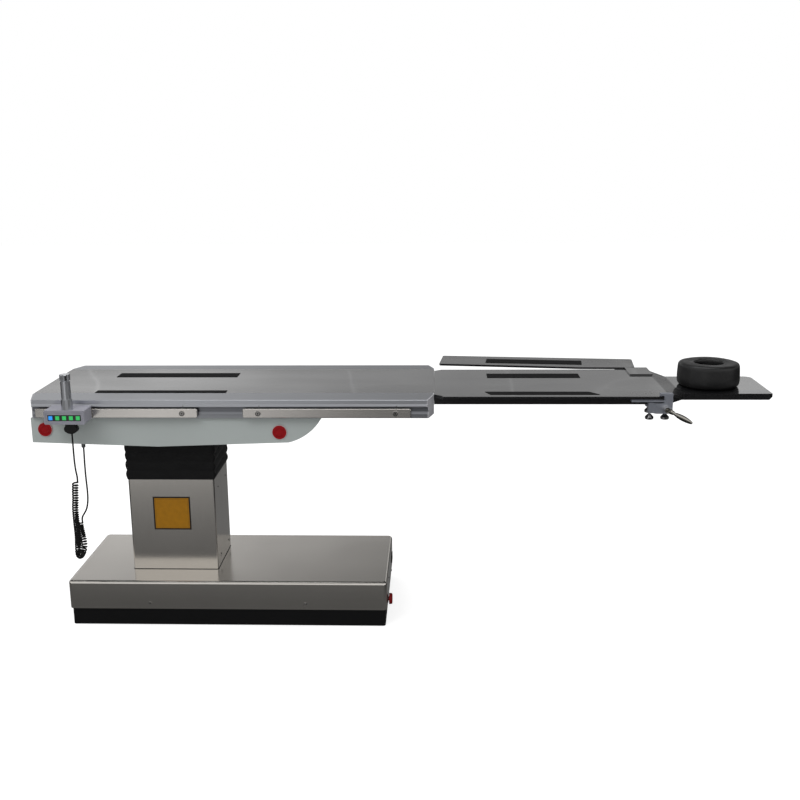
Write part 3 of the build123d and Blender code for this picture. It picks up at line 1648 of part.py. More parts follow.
with BuildPart() as cord_gland:
    with BuildSketch(Plane.XY.offset(gland_low_z)):
        with Locations(gland_place):
            Circle(gland_radius)
    extrude(amount=gland_nut_z - gland_low_z)
    chamfer(cord_gland.faces().sort_by(Axis.Z)[0].edges(), gland_edge)
    split(bisect_by=underside, keep=Keep.BOTTOM)
    with BuildSketch(Plane.XY.offset(gland_low_z)):
        with Locations(gland_place):
            Circle(gland_thread_radius)
    extrude(amount=gland_nut_z + gland_nut_height - gland_low_z)
    with BuildSketch(Plane.XY.offset(gland_nut_z)):
        with Locations(gland_place):
            RegularPolygon(gland_nut_radius, gland_nut_sides)
    extrude(amount=gland_nut_height)
cord_gland.part.label = "cord_gland"
export_step(cord_gland.part, "parts/cord_gland.step")

# Plug in the control box's underside
plug_x = lead_box_route[0][0]
plug_y = lead_box_route[0][1]
plug_height = box_bottom_z - plug_low_z
plug_right = [
    (plug_x + width_share * plug_half_width, plug_low_z + height_share * plug_height)
    for width_share, height_share in plug_outline_shares
]
plug_left = [(2 * plug_x - place, height) for place, height in reversed(plug_right)]

with BuildPart() as cord_plug:
    with BuildSketch(Plane.XZ.offset(-plug_y)):
        with BuildLine():
            Polyline(*plug_right, *plug_left, close=True)
        make_face()
    extrude(amount=plug_depth / 2, both=True)
    chamfer(cord_plug.faces().filter_by(Axis.Y).edges(), plug_edge)
cord_plug.part.label = "cord_plug"
export_step(cord_plug.part, "parts/cord_plug.step")


def arc_radii(route):
    """The widest arcs that a route's runs leave room for, one for each corner."""
    radii = []
    for before, corner, after in zip(route, route[1:], route[2:]):
        run_in = Vector(*corner) - Vector(*before)
        run_out = Vector(*after) - Vector(*corner)
        half_turn = math.radians(run_in.get_angle(run_out) / 2)
        radii.append(arc_share * min(run_in.length, run_out.length) / math.tan(half_turn))
    return radii


def lead(route):
    """A plain stretch of the cord along its route."""
    radii = arc_radii(route)
    with BuildPart() as stretch:
        with BuildLine():
            path = FilletPolyline(*route, radius=radii)
        with BuildSketch(Plane(path @ 0, z_dir=path % 0)):
            Circle(cord_radius)
        sweep(path=path)
    print("lead of", round(path.length), "mm, arcs", [round(radius) for radius in radii])
    print("  volume", round(stretch.part.volume), "of", round(math.pi * cord_radius**2 * path.length))
    return stretch


# Plain leads at both ends of the cord
cord_lead_box = lead(lead_box_route)
cord_lead_box.part.label = "cord_lead_box"
export_step(cord_lead_box.part, "parts/cord_lead_box.step")

cord_lead_socket = lead(lead_socket_route)
cord_lead_socket.part.label = "cord_lead_socket"
export_step(cord_lead_socket.part, "parts/cord_lead_socket.step")

# Curly stretch: a helix round its route, leaving along it at both ends
with BuildLine() as coil_middle:
    FilletPolyline(*coil_route, radius=arc_radii(coil_route))
middle_line = coil_middle.wires()[0]
middle_length = middle_line.length


def curl_pitch(along):
    """Spacing of the curls at a distance along the middle line."""
    share = along / middle_length
    places = list(zip(curl_places_share, curl_pitches))
    for (start, start_pitch), (end, end_pitch) in zip(places, places[1:]):
        if share <= end:
            return start_pitch + (end_pitch - start_pitch) * (share - start) / (end - start)
    return curl_pitches[-1]


def curl_point(along, phase):
    """A point of the wire, from its distance along the middle line and its phase."""
    middle = middle_line.position_at(along / middle_length)
    forward = middle_line.tangent_at(along / middle_length)
    side = (Vector(1, 0, 0) - forward * forward.X).normalized()
    return middle + (side * math.cos(phase) - forward.cross(side) * math.sin(phase)) * curl_radius


def curl_knot(along, phase, rise):
    """A point of the wire with its direction, which rises from the curl's own plane."""
    low = max(along - curl_step, 0)
    high = min(along + curl_step, middle_length)
    turn = curl_step / curl_radius
    forward = (curl_point(high, phase) - curl_point(low, phase)) / (high - low)
    around = (curl_point(along, phase + turn) - curl_point(along, phase - turn)) / (2 * curl_step)
    direction = forward * math.sin(rise) + around * math.cos(rise)
    return curl_point(along, phase), direction.normalized()


def curl_knots():
    """The wire's knots: a straight end, a bend, quarter turns, and the same again."""
    end_rise = math.atan2(curl_pitch(0), 2 * math.pi * curl_radius)
    end_run = 2 * cord_radius
    first = end_run + curl_bend * math.cos(end_rise)
    last = middle_length - first
    stations = [first]
    while stations[-1] < last:
        stations.append(stations[-1] + curl_pitch(stations[-1]) / 4)
    squeeze = (last - first) / (stations[-1] - first)
    stations = [first + (station - first) * squeeze for station in stations]
    quarters = len(stations) - 1
    whole_phase = 2 * math.pi * round(quarters / 4)
    bend_phase = curl_bend * (1 - math.sin(end_rise)) / curl_radius
    quarter_phase = (whole_phase - 2 * bend_phase) / quarters
    bends = [math.radians(angle) for angle in bend_angles]
    knots = [curl_knot(0, 0, math.pi / 2)]
    for angle in bends:
        along = end_run + curl_bend * math.sin(angle)
        phase = curl_bend * (1 - math.cos(angle)) / curl_radius
        knots.append(curl_knot(along, phase, math.pi / 2 - angle))
    for number, station in enumerate(stations):
        rise = math.atan2(curl_pitch(station) * squeeze, 2 * math.pi * curl_radius)
        knots.append(curl_knot(station, bend_phase + number * quarter_phase, rise))
    for angle in reversed(bends):
        along = middle_length - end_run - curl_bend * math.sin(angle)
        phase = whole_phase - curl_bend * (1 - math.cos(angle)) / curl_radius
        knots.append(curl_knot(along, phase, math.pi / 2 - angle))
    knots.append(curl_knot(middle_length, whole_phase, math.pi / 2))
    print("curls", round(quarters / 4, 1))
    return knots


def two_arcs(start, start_direction, end, end_direction):
    """Two tangent arcs between two knots, or a line where the knots face each other."""
    span = end - start
    both = start_direction + end_direction
    bend = 2 * (1 - start_direction.dot(end_direction))
    if bend < straight_limit:
        return [Edge.make_line(start, end)]
    reach = math.sqrt(span.dot(both) ** 2 + bend * span.dot(span)) - span.dot(both)
    start_handle = start + start_direction * (reach / bend)
    end_handle = end - end_direction * (reach / bend)
    middle = (start_handle + end_handle) / 2
    return [
        Edge.make_tangent_arc(start, start_direction, middle),
        Edge.make_tangent_arc(middle, end_handle - start_handle, end),
    ]


def least_gap(edges):
    """Least gap of the wire to itself, on points more than half a curl apart."""
    points = []
    places = []
    run = 0
    for edge in edges:
        for number in range(points_per_arc):
            spot = edge.position_at(number / points_per_arc)
            points.append((spot.X, spot.Y, spot.Z))
            places.append(run + edge.length * number / points_per_arc)
        run += edge.length
    nearest = min(
        math.dist(points[i], points[j])
        for i in range(len(points))
        for j in range(i + 1, len(points))
        if places[j] - places[i] > math.pi * curl_radius
    )
    return nearest - 2 * cord_radius


knots = curl_knots()
curl_edges = []
for (start, start_direction), (end, end_direction) in zip(knots, knots[1:]):
    curl_edges.extend(two_arcs(start, start_direction, end, end_direction))
curl_wire = Wire(curl_edges)
curl_arcs = [edge.radius for edge in curl_edges if edge.geom_type == GeomType.CIRCLE]
print("coil of", round(curl_wire.length), "mm, tightest arc", round(min(curl_arcs), 2))
print("  least gap to itself", round(least_gap(curl_edges), 2), "mm")

with BuildPart() as cord_coil:
    with BuildSketch(Plane(curl_wire @ 0, z_dir=curl_wire % 0)):
        Circle(cord_radius)
    sweep(path=curl_wire)
cord_coil.part.label = "cord_coil"
export_step(cord_coil.part, "parts/cord_coil.step")
print("  volume", round(cord_coil.part.volume), "of", round(math.pi * cord_radius**2 * curl_wire.length))
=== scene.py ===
"""Looks of the operating table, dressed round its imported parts.

All lengths are in metres unless a name or MM says otherwise. The camera stands where the
photograph was taken, and every surface is procedural.
"""

import math

import bpy
from mathutils import Matrix, Vector


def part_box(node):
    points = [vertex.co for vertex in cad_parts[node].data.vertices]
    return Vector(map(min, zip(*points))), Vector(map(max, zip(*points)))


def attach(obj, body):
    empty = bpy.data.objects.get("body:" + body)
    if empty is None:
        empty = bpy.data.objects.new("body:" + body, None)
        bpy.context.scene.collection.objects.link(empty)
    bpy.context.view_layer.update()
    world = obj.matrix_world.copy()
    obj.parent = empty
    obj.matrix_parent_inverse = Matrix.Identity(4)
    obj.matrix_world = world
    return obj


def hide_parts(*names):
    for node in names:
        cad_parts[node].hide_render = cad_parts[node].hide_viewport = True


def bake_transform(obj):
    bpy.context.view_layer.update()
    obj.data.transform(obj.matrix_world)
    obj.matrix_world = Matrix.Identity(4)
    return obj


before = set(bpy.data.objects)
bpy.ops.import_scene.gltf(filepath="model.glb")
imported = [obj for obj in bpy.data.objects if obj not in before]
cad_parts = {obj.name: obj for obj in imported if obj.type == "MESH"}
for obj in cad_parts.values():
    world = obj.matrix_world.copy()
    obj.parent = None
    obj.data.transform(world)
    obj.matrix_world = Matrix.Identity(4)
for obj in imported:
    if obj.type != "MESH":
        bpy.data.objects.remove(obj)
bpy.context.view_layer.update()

MM = 0.001

# Camera, as the photograph was taken
CAMERA_PLACE = Vector((0.7158, -3.5498, 1.6136))
CAMERA_YAW = math.radians(2.007)
CAMERA_PITCH = math.radians(13.674)
CAMERA_ROLL = math.radians(-0.466)
SENSOR_WIDTH = 36.0
LENS = 47.26
CAMERA_REACH = 100


def make_camera():
    """The camera at the photograph's place, turned by its yaw, pitch and roll."""
    forward = Vector(
        (
            -math.sin(CAMERA_YAW) * math.cos(CAMERA_PITCH),
            math.cos(CAMERA_YAW) * math.cos(CAMERA_PITCH),
            -math.sin(CAMERA_PITCH),
        )
    )
    level = Vector((math.cos(CAMERA_YAW), math.sin(CAMERA_YAW), 0))
    upright = level.cross(forward)
    right = level * math.cos(CAMERA_ROLL) + upright * math.sin(CAMERA_ROLL)
    up = upright * math.cos(CAMERA_ROLL) - level * math.sin(CAMERA_ROLL)
    data = bpy.data.cameras.new("camera")
    data.sensor_width = SENSOR_WIDTH
    data.lens = LENS
    data.clip_end = CAMERA_REACH
    camera = bpy.data.objects.new("camera", data)
    bpy.context.scene.collection.objects.link(camera)
    turn = Matrix((right, up, -forward)).transposed()
    camera.matrix_world = Matrix.Translation(CAMERA_PLACE) @ turn.to_4x4()
    bpy.context.scene.camera = camera


# Materials: small helpers


def shown(red, green, blue):
    """A colour as a screen shows it, in the linear values that a shader takes."""
    return tuple(((part / 255 + 0.055) / 1.055) ** 2.4 for part in (red, green, blue)) + (1.0,)


def darker(colour, share):
    """A colour with its light scaled by a share."""
    return tuple(part * share for part in colour[:3]) + (1.0,)


def add_node(tree, kind, inputs=None, **settings):
    """A node of that kind, each input set to a value or joined to a socket."""
    node = tree.nodes.new(kind)
    for name, value in settings.items():
        setattr(node, name, value)
    for name, value in (inputs or {}).items():
        if isinstance(value, bpy.types.NodeSocket):
            tree.links.new(value, node.inputs[name])
        else:
            node.inputs[name].default_value = value
    return node


def new_material(name, colour, roughness, metallic=0.0, **sockets):
    """A material with one principled shader, and that shader."""
    material = bpy.data.materials.new(name)
    material.use_nodes = True
    shader = material.node_tree.nodes["Principled BSDF"]
    shader.inputs["Base Color"].default_value = colour
    shader.inputs["Roughness"].default_value = roughness
    shader.inputs["Metallic"].default_value = metallic
    for socket, value in sockets.items():
        shader.inputs[socket.replace("_", " ")].default_value = value
    return material, shader


def object_place(tree, scale=(1, 1, 1), turn=(0, 0, 0)):
    """The place on the object, stretched by a scale."""
    place = add_node(tree, "ShaderNodeTexCoord").outputs["Object"]
    mapping = {"Vector": place, "Scale": scale, "Rotation": turn}
    return add_node(tree, "ShaderNodeMapping", mapping).outputs["Vector"]


def noise(tree, place, scale, detail=2.0, rough=0.5, distortion=0.0):
    """Cloudy noise, from 0 to 1, with its middle at a half."""
    inputs = {
        "Vector": place,
        "Scale": scale,
        "Detail": detail,
        "Roughness": rough,
        "Distortion": distortion,
    }
    return add_node(tree, "ShaderNodeTexNoise", inputs).outputs["Fac"]


def remap(tree, value, low, high, to_low, to_high, smooth=False):
    """A value carried from one range to another, clamped."""
    inputs = {
        "Value": value,
        "From Min": low,
        "From Max": high,
        "To Min": to_low,
        "To Max": to_high,
    }
    kind = "SMOOTHSTEP" if smooth else "LINEAR"
    node = add_node(tree, "ShaderNodeMapRange", inputs, interpolation_type=kind)
    return node.outputs["Result"]


def combine(tree, kind, first, second=0):
    """Two values put together by a sum, a product or a like operation, or one value changed."""
    node = add_node(tree, "ShaderNodeMath", operation=kind)
    for socket, value in zip(node.inputs, (first, second)):
        if isinstance(value, bpy.types.NodeSocket):
            tree.links.new(value, socket)
        else:
            socket.default_value = value
    return node.outputs["Value"]


def object_parts(tree):
    """The place on the object, split into its X, Y and Z."""
    place = add_node(tree, "ShaderNodeTexCoord").outputs["Object"]
    return add_node(tree, "ShaderNodeSeparateXYZ", {"Vector": place}).outputs


def distance(tree, value, middle):
    """How far a value lies from a middle, to either side."""
    return combine(tree, "ABSOLUTE", combine(tree, "SUBTRACT", value, middle))


def depth_inside(tree, *spans):
    """How far a place lies inside a box; a span is a distance from its middle and a half size."""
    inward = [combine(tree, "SUBTRACT", half, off_middle) for off_middle, half in spans]
    return combine(tree, "MINIMUM", *inward)


def ramp(tree, value, *stops):
    """A colour that runs through stops, each a place and a colour."""
    node = add_node(tree, "ShaderNodeValToRGB", {"Fac": value})
    elements = node.color_ramp.elements
    while len(elements) < len(stops):
        elements.new(0.5)
    for element, (place, colour) in zip(elements, stops):
        element.position = place
        element.color = colour
    return node.outputs["Color"]


def grey_ramp(tree, value, stops):
    """A grey that runs through stops, each a place and a level."""
    return ramp(tree, value, *[(place, (level, level, level, 1)) for place, level in stops])


def mix_colours(tree, share, first, second):
    """A first colour carried towards a second one by a share."""
    inputs = {"Fac": share, "Color1": first, "Color2": second}
    return add_node(tree, "ShaderNodeMixRGB", inputs).outputs["Color"]


def bump(tree, shader, height, reach, after=None):
    """A bump of the surface, added to one before it if there is one."""
    inputs = {"Height": height, "Distance": reach, "Strength": 1.0}
    if after is not None:
        inputs["Normal"] = after
    normal = add_node(tree, "ShaderNodeBump", inputs).outputs["Normal"]
    tree.links.new(normal, shader.inputs["Normal"])
    return normal


def tint(tree, shader, colour, value, low_share, high_share):
    """The base colour, made darker and lighter as a value goes from 0 to 1."""
    low, high = darker(colour, low_share), darker(colour, high_share)
    shade = ramp(tree, value, (0.25, low), (0.75, high))
    tree.links.new(shade, shader.inputs["Base Color"])


def set_gloss(tree, shader, value, low, high, to_low, to_high):
    """The roughness, carried from a value's range."""
    gloss = remap(tree, value, low, high, to_low, to_high)
    tree.links.new(gloss, shader.inputs["Roughness"])


# Materials: metals

GRAIN_STRETCH = 0.012


def brushed_metal(name, colour, roughness, grain, streak_mm=1.2, relief_mm=0.003, uneven=0.03):
    """Brushed metal with its grain along one axis, slightly uneven in gloss."""
    material, shader = new_material(name, colour, roughness, metallic=1.0)
    tree = material.node_tree
    across = 1 / (streak_mm * MM)
    along = across * GRAIN_STRETCH
    scale = tuple(along if axis == grain else across for axis in "XYZ")
    streaks = noise(tree, object_place(tree, scale), 1.0, detail=3.0, rough=0.6)
    clouds = noise(tree, object_place(tree), 4.5, detail=3.0)
    tint(tree, shader, colour, streaks, 0.96, 1.04)
    gloss = combine(tree, "ADD", remap(tree, streaks, 0.3, 0.7, -uneven, uneven), clouds)
    set_gloss(tree, shader, gloss, 0.2, 0.8, roughness - uneven, roughness + uneven)
    bump(tree, shader, streaks, relief_mm * MM)
    return material


def cast_metal(name, colour, roughness, grain_mm=1.5, relief_mm=0.08, metallic=1.0):
    """Blasted or cast metal with a fine even grain."""
    material, shader = new_material(name, colour, roughness, metallic=metallic)
    tree = material.node_tree
    grain = noise(tree, object_place(tree), 1 / (grain_mm * MM), detail=3.0, rough=0.65)
    clouds = noise(tree, object_place(tree), 9.0, detail=2.0)
    tint(tree, shader, colour, clouds, 0.9, 1.08)
    set_gloss(tree, shader, grain, 0.3, 0.7, roughness - 0.06, roughness + 0.06)
    bump(tree, shader, grain, relief_mm * MM)
    return material


def turned_metal(name, colour, roughness):
    """Turned or polished metal with faint fine marks."""
    material, shader = new_material(name, colour, roughness, metallic=1.0)
    tree = material.node_tree
    marks = noise(tree, object_place(tree, (900, 900, 900)), 1.0, detail=2.0)
    smudges = noise(tree, object_place(tree), 40.0, detail=3.0)
    tint(tree, shader, colour, smudges, 0.92, 1.06)
    set_gloss(tree, shader, smudges, 0.3, 0.7, roughness * 0.75, roughness * 1.3)
    bump(tree, shader, marks, 0.004 * MM)
    return material


# Materials: paints, plastics, rubber


PEEL_MM = 2.2
PEEL_RELIEF_MM = 0.02


def painted(name, colour, roughness):
    """Sprayed paint: an even colour with a faint orange peel and soft wear."""
    material, shader = new_material(name, colour, roughness)
    tree = material.node_tree
    peel = noise(tree, object_place(tree), 1 / (PEEL_MM * MM), detail=1.0)
    clouds = noise(tree, object_place(tree), 5.0, detail=3.0)
    tint(tree, shader, colour, clouds, 0.96, 1.03)
    set_gloss(tree, shader, clouds, 0.3, 0.7, roughness - 0.04, roughness + 0.04)
    bump(tree, shader, peel, PEEL_RELIEF_MM * MM)
    return material


def moulded(name, colour, roughness, grain_mm=0.6, relief_mm=0.03, coat=0.0, shine=0.5):
    """Moulded plastic or rubber with a fine spark-eroded grain."""
    material, shader = new_material(
        name,
        colour,
        roughness,
        Coat_Weight=coat,
        Coat_Roughness=0.08,
        Specular_IOR_Level=shine,
    )
    tree = material.node_tree
    grain = noise(tree, object_place(tree), 1 / (grain_mm * MM), detail=2.0, rough=0.6)
    scuffs = noise(tree, object_place(tree), 22.0, detail=4.0, rough=0.6)
    tint(tree, shader, colour, scuffs, 0.85, 1.12)
    set_gloss(tree, shader, scuffs, 0.3, 0.7, roughness - 0.05, roughness + 0.07)
    bump(tree, shader, grain, relief_mm * MM)
    return material


TOW_WIDTH = 2.4 * MM
TWILL_REPEAT = 4
TWILL_OVER = 2


def carbon_laminate(name):
    """Near-black carbon laminate: a faint twill under a clear, slightly wavy coat."""
    cloth = shown(15, 15, 17)
    coat = {"Coat_Weight": 1.0, "Coat_Roughness": 0.03, "Coat_IOR": 1.75}
    material, shader = new_material(name, cloth, 0.42, Specular_IOR_Level=0.2, **coat)
    tree = material.node_tree
    parts = object_parts(tree)
    along = combine(tree, "DIVIDE", parts["X"], TOW_WIDTH)
    step = combine(tree, "FLOOR", combine(tree, "DIVIDE", parts["Y"], TOW_WIDTH))
    twill = combine(tree, "FLOORED_MODULO", combine(tree, "ADD", along, step), TWILL_REPEAT)
    over = combine(tree, "MULTIPLY", combine(tree, "LESS_THAN", twill, TWILL_OVER), 0.5)
    clouds = noise(tree, object_place(tree), 3.0, detail=3.0)
    weave = combine(tree, "ADD", over, combine(tree, "MULTIPLY", clouds, 0.5))
    tint(tree, shader, cloth, weave, 0.75, 1.3)
    waves = noise(tree, object_place(tree, (1.6, 5.0, 1.0)), 1.6, detail=3.0)
    set_gloss(tree, shader, waves, 0.35, 0.65, 0.34, 0.5)
    ripple = noise(tree, object_place(tree, (1, 2.2, 1)), 7.0, detail=2.0)
    bump(tree, shader, ripple, 0.2 * MM)
    return material


def bellows_fabric(name):
    """Black coated fabric with a fine weave and dust in its folds."""
    cloth = shown(15, 15, 16)
    material, shader = new_material(
        name, cloth, 0.7, Specular_IOR_Level=0.25, Sheen_Weight=0.03, Sheen_Roughness=0.5
    )
    tree = material.node_tree
    slanting = object_place(tree, turn=(0.6, 0.5, 0.2))
    inputs = {"Vector": slanting, "Scale": 260.0, "Distortion": 0.6}
    weave = add_node(tree, "ShaderNodeTexWave", inputs).outputs["Fac"]
    dust = noise(tree, object_place(tree, (1, 1, 2.5)), 14.0, detail=4.0)
    tint(tree, shader, cloth, dust, 0.75, 1.35)
    soft = bump(tree, shader, dust, 1.2 * MM)
    bump(tree, shader, weave, 0.05 * MM, after=soft)
    return material


def ring_leather(name):
    """Black artificial leather with a pebbled grain and a soft gloss."""
    leather = shown(13, 13, 14)
    material, shader = new_material(
        name, leather, 0.45, Specular_IOR_Level=0.4, Coat_Weight=0.1, Coat_Roughness=0.3
    )
    tree = material.node_tree
    inputs = {"Vector": object_place(tree), "Scale": 620.0}
    cells = add_node(tree, "ShaderNodeTexVoronoi", inputs, feature="SMOOTH_F1")
    pebbles = cells.outputs["Distance"]
    lying = object_place(tree, (1, 1, 1.6))
    creases = noise(tree, lying, 26.0, detail=4.0, rough=0.6, distortion=0.4)
    tint(tree, shader, leather, creases, 0.8, 1.25)
    set_gloss(tree, shader, creases, 0.35, 0.65, 0.36, 0.5)
    soft = bump(tree, shader, creases, 0.8 * MM)
    bump(tree, shader, pebbles, 0.08 * MM, after=soft)
    return material


PLATE_RIM = 5.2 * MM
PLATE_LINE_DEPTH = 9 * MM
PLATE_LINE_HALF = 0.5 * MM


def amber_plate(name):
    """Bare amber enamel plate with a dark rim and one thin inner line."""
    low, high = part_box("label_plate")
    centre, half = (low + high) / 2, (high - low) / 2
    enamel = shown(170, 116, 5)
    edge = shown(38, 32, 24)
    material, shader = new_material(name, enamel, 0.4, Specular_IOR_Level=0.3)
    tree = material.node_tree
    parts = object_parts(tree)
    depth = depth_inside(
        tree,
        (distance(tree, parts["X"], centre.x), half.x),
        (distance(tree, parts["Z"], centre.z), half.z),
    )
    rim = combine(tree, "LESS_THAN", depth, PLATE_RIM)
    from_line = distance(tree, depth, PLATE_LINE_DEPTH)
    line = combine(tree, "LESS_THAN", from_line, PLATE_LINE_HALF)
    clouds = noise(tree, object_place(tree), 60.0, detail=3.0)
    face = ramp(tree, clouds, (0.3, darker(enamel, 0.9)), (0.7, darker(enamel, 1.05)))
    mark = combine(tree, "MAXIMUM", rim, combine(tree, "MULTIPLY", line, 0.55))
    tree.links.new(mix_colours(tree, mark, face, edge), shader.inputs["Base Color"])
    bump(tree, shader, clouds, 0.02 * MM)
    return material


# Depths from a key's rim between which its painted glow grows
KEY_RIM = (0.2 * MM, 2.2 * MM)
KEY_RIM_PAINTED_GLOW = 0.06


def painted_glow_key(name, colour, glow):
    """A key with a painted glow: a clear cap made to give off light, bright in its middle and dark
    at its rim.
    """
    material, shader = new_material(name, colour, 0.3, Coat_Weight=0.3, Coat_Roughness=0.05)
    tree = material.node_tree
    low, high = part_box("button_1")
    centre, half = (low + high) / 2, (high - low) / 2
    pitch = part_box("button_2")[0].x - low.x
    parts = object_parts(tree)
    row_start = low.x - (pitch - (high.x - low.x)) / 2
    in_pitch = combine(
        tree, "FLOORED_MODULO", combine(tree, "SUBTRACT", parts["X"], row_start), pitch
    )
    depth = depth_inside(
        tree,
        (distance(tree, in_pitch, pitch / 2), half.x),
        (distance(tree, parts["Z"], centre.z), half.z),
    )
    grain = noise(tree, object_place(tree), 500.0, detail=2.0)
    # Painted glow, brighter towards the key's middle, both in its colour and in the light it gives
    # off
    painted_glow_share = remap(tree, depth, *KEY_RIM, KEY_RIM_PAINTED_GLOW, 1.0, smooth=True)
    shares = ((0.0, 0.1), (0.6, 0.8), (1.0, 1.15))
    shade = ramp(tree, painted_glow_share, *[(place, darker(colour, share)) for place, share in shares])
    tree.links.new(shade, shader.inputs["Base Color"])
    shader.inputs["Emission Color"].default_value = colour
    strength = combine(tree, "MULTIPLY", painted_glow_share, glow)
    tree.links.new(strength, shader.inputs["Emission Strength"])
    bump(tree, shader, grain, 0.03 * MM)
    return material


CAP_RADIUS = 25 * MM
CAP_RIM = 2.0 * MM
CAP_RING_SHARE = 0.55
CAP_RING_HALF = (1.0 * MM, 2.5 * MM)
CAP_RING_HEIGHT = 1.2 * MM


def badge_red(name):
    """Glossy dark red caps, each with a pale rim and a raised plain ring."""
    low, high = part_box("housing_caps")
    red = shown(150, 7, 16)
    rim = shown(196, 176, 176)
    material, shader = new_material(name, red, 0.3, Specular_IOR_Level=0.2)
    tree = material.node_tree
    parts = object_parts(tree)
    spots = (
        (low.x + CAP_RADIUS, high.z - CAP_RADIUS),
        (high.x - CAP_RADIUS, low.z + CAP_RADIUS),
    )
    reaches = []
    for spot in spots:
        squares = [
            combine(tree, "POWER", combine(tree, "SUBTRACT", parts[axis], middle), 2)
            for axis, middle in zip("XZ", spot)
        ]
        reaches.append(combine(tree, "SQRT", combine(tree, "ADD", *squares)))
    reach = combine(tree, "MINIMUM", *reaches)
    clouds = noise(tree, object_place(tree), 70.0, detail=3.0)
    face = ramp(tree, clouds, (0.3, darker(red, 0.85)), (0.7, darker(red, 1.12)))
    outside = combine(tree, "GREATER_THAN", reach, CAP_RADIUS - CAP_RIM)
    tree.links.new(mix_colours(tree, outside, face, rim), shader.inputs["Base Color"])
    from_ring = distance(tree, reach, CAP_RING_SHARE * CAP_RADIUS)
    raised = remap(tree, from_ring, *CAP_RING_HALF, 1.0, 0.0, smooth=True)
    soft = bump(tree, shader, raised, CAP_RING_HEIGHT)
    bump(tree, shader, clouds, 0.05 * MM, after=soft)
    return material


# The profile's slot lies this far in from its outer face and below its top
SLOT_INSET = 11 * MM
LIP_DROP = 22 * MM
# Shares of painted shade in the slot, from its foot up to under the lip
SLOT_PAINTED_SHADE = (0.35, 0.85)
# A dull band along the outer face
BAND_INSET = 4 * MM
BAND_Z = 810 * MM
BAND_HALF_HEIGHT = 6 * MM
BAND_SHARE = 0.75


def profile_metal(name):
    """Satin anodised section, brushed along its length, with painted shade in its slot, deepest
    under the lip, and dull in one band.
    """
    low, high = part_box("side_profiles")
    material = brushed_metal(name, ALUMINIUM, 0.33, "X", streak_mm=0.8)
    tree = material.node_tree
    shader = tree.nodes["Principled BSDF"]
    streaked = shader.inputs["Base Color"].links[0].from_socket
    parts = object_parts(tree)
    aside = combine(tree, "ABSOLUTE", parts["Y"])
    inside = combine(tree, "LESS_THAN", aside, high.y - SLOT_INSET)
    below = combine(tree, "LESS_THAN", parts["Z"], high.z - LIP_DROP)
    slot = combine(tree, "MULTIPLY", inside, below)
    # Painted shade in the slot, growing towards the lip above it
    slot_shade_fade = remap(tree, parts["Z"], low.z, high.z - LIP_DROP, *SLOT_PAINTED_SHADE)
    slot_shade_share = combine(tree, "MULTIPLY", slot, slot_shade_fade)
    slot_shaded = mix_colours(tree, slot_shade_share, streaked, shown(52, 54, 60))
    outside = combine(tree, "GREATER_THAN", aside, high.y - BAND_INSET)
    in_band = combine(tree, "LESS_THAN", distance(tree, parts["Z"], BAND_Z), BAND_HALF_HEIGHT)
    band = combine(tree, "MULTIPLY", outside, in_band)
    band_share = combine(tree, "MULTIPLY", band, BAND_SHARE)
    slot_shade_and_band = mix_colours(tree, band_share, slot_shaded, shown(60, 62, 68))
    tree.links.new(slot_shade_and_band, shader.inputs["Base Color"])
    return material


STEEL = shown(205, 201, 195)
RAIL_STEEL = shown(208, 204, 199)
ALUMINIUM = shown(184, 186, 191)
CLAMP_BLUE = shown(184, 188, 199)
HOUSING = shown(179, 186, 184)
CASE_GREY = shown(146, 146, 156)

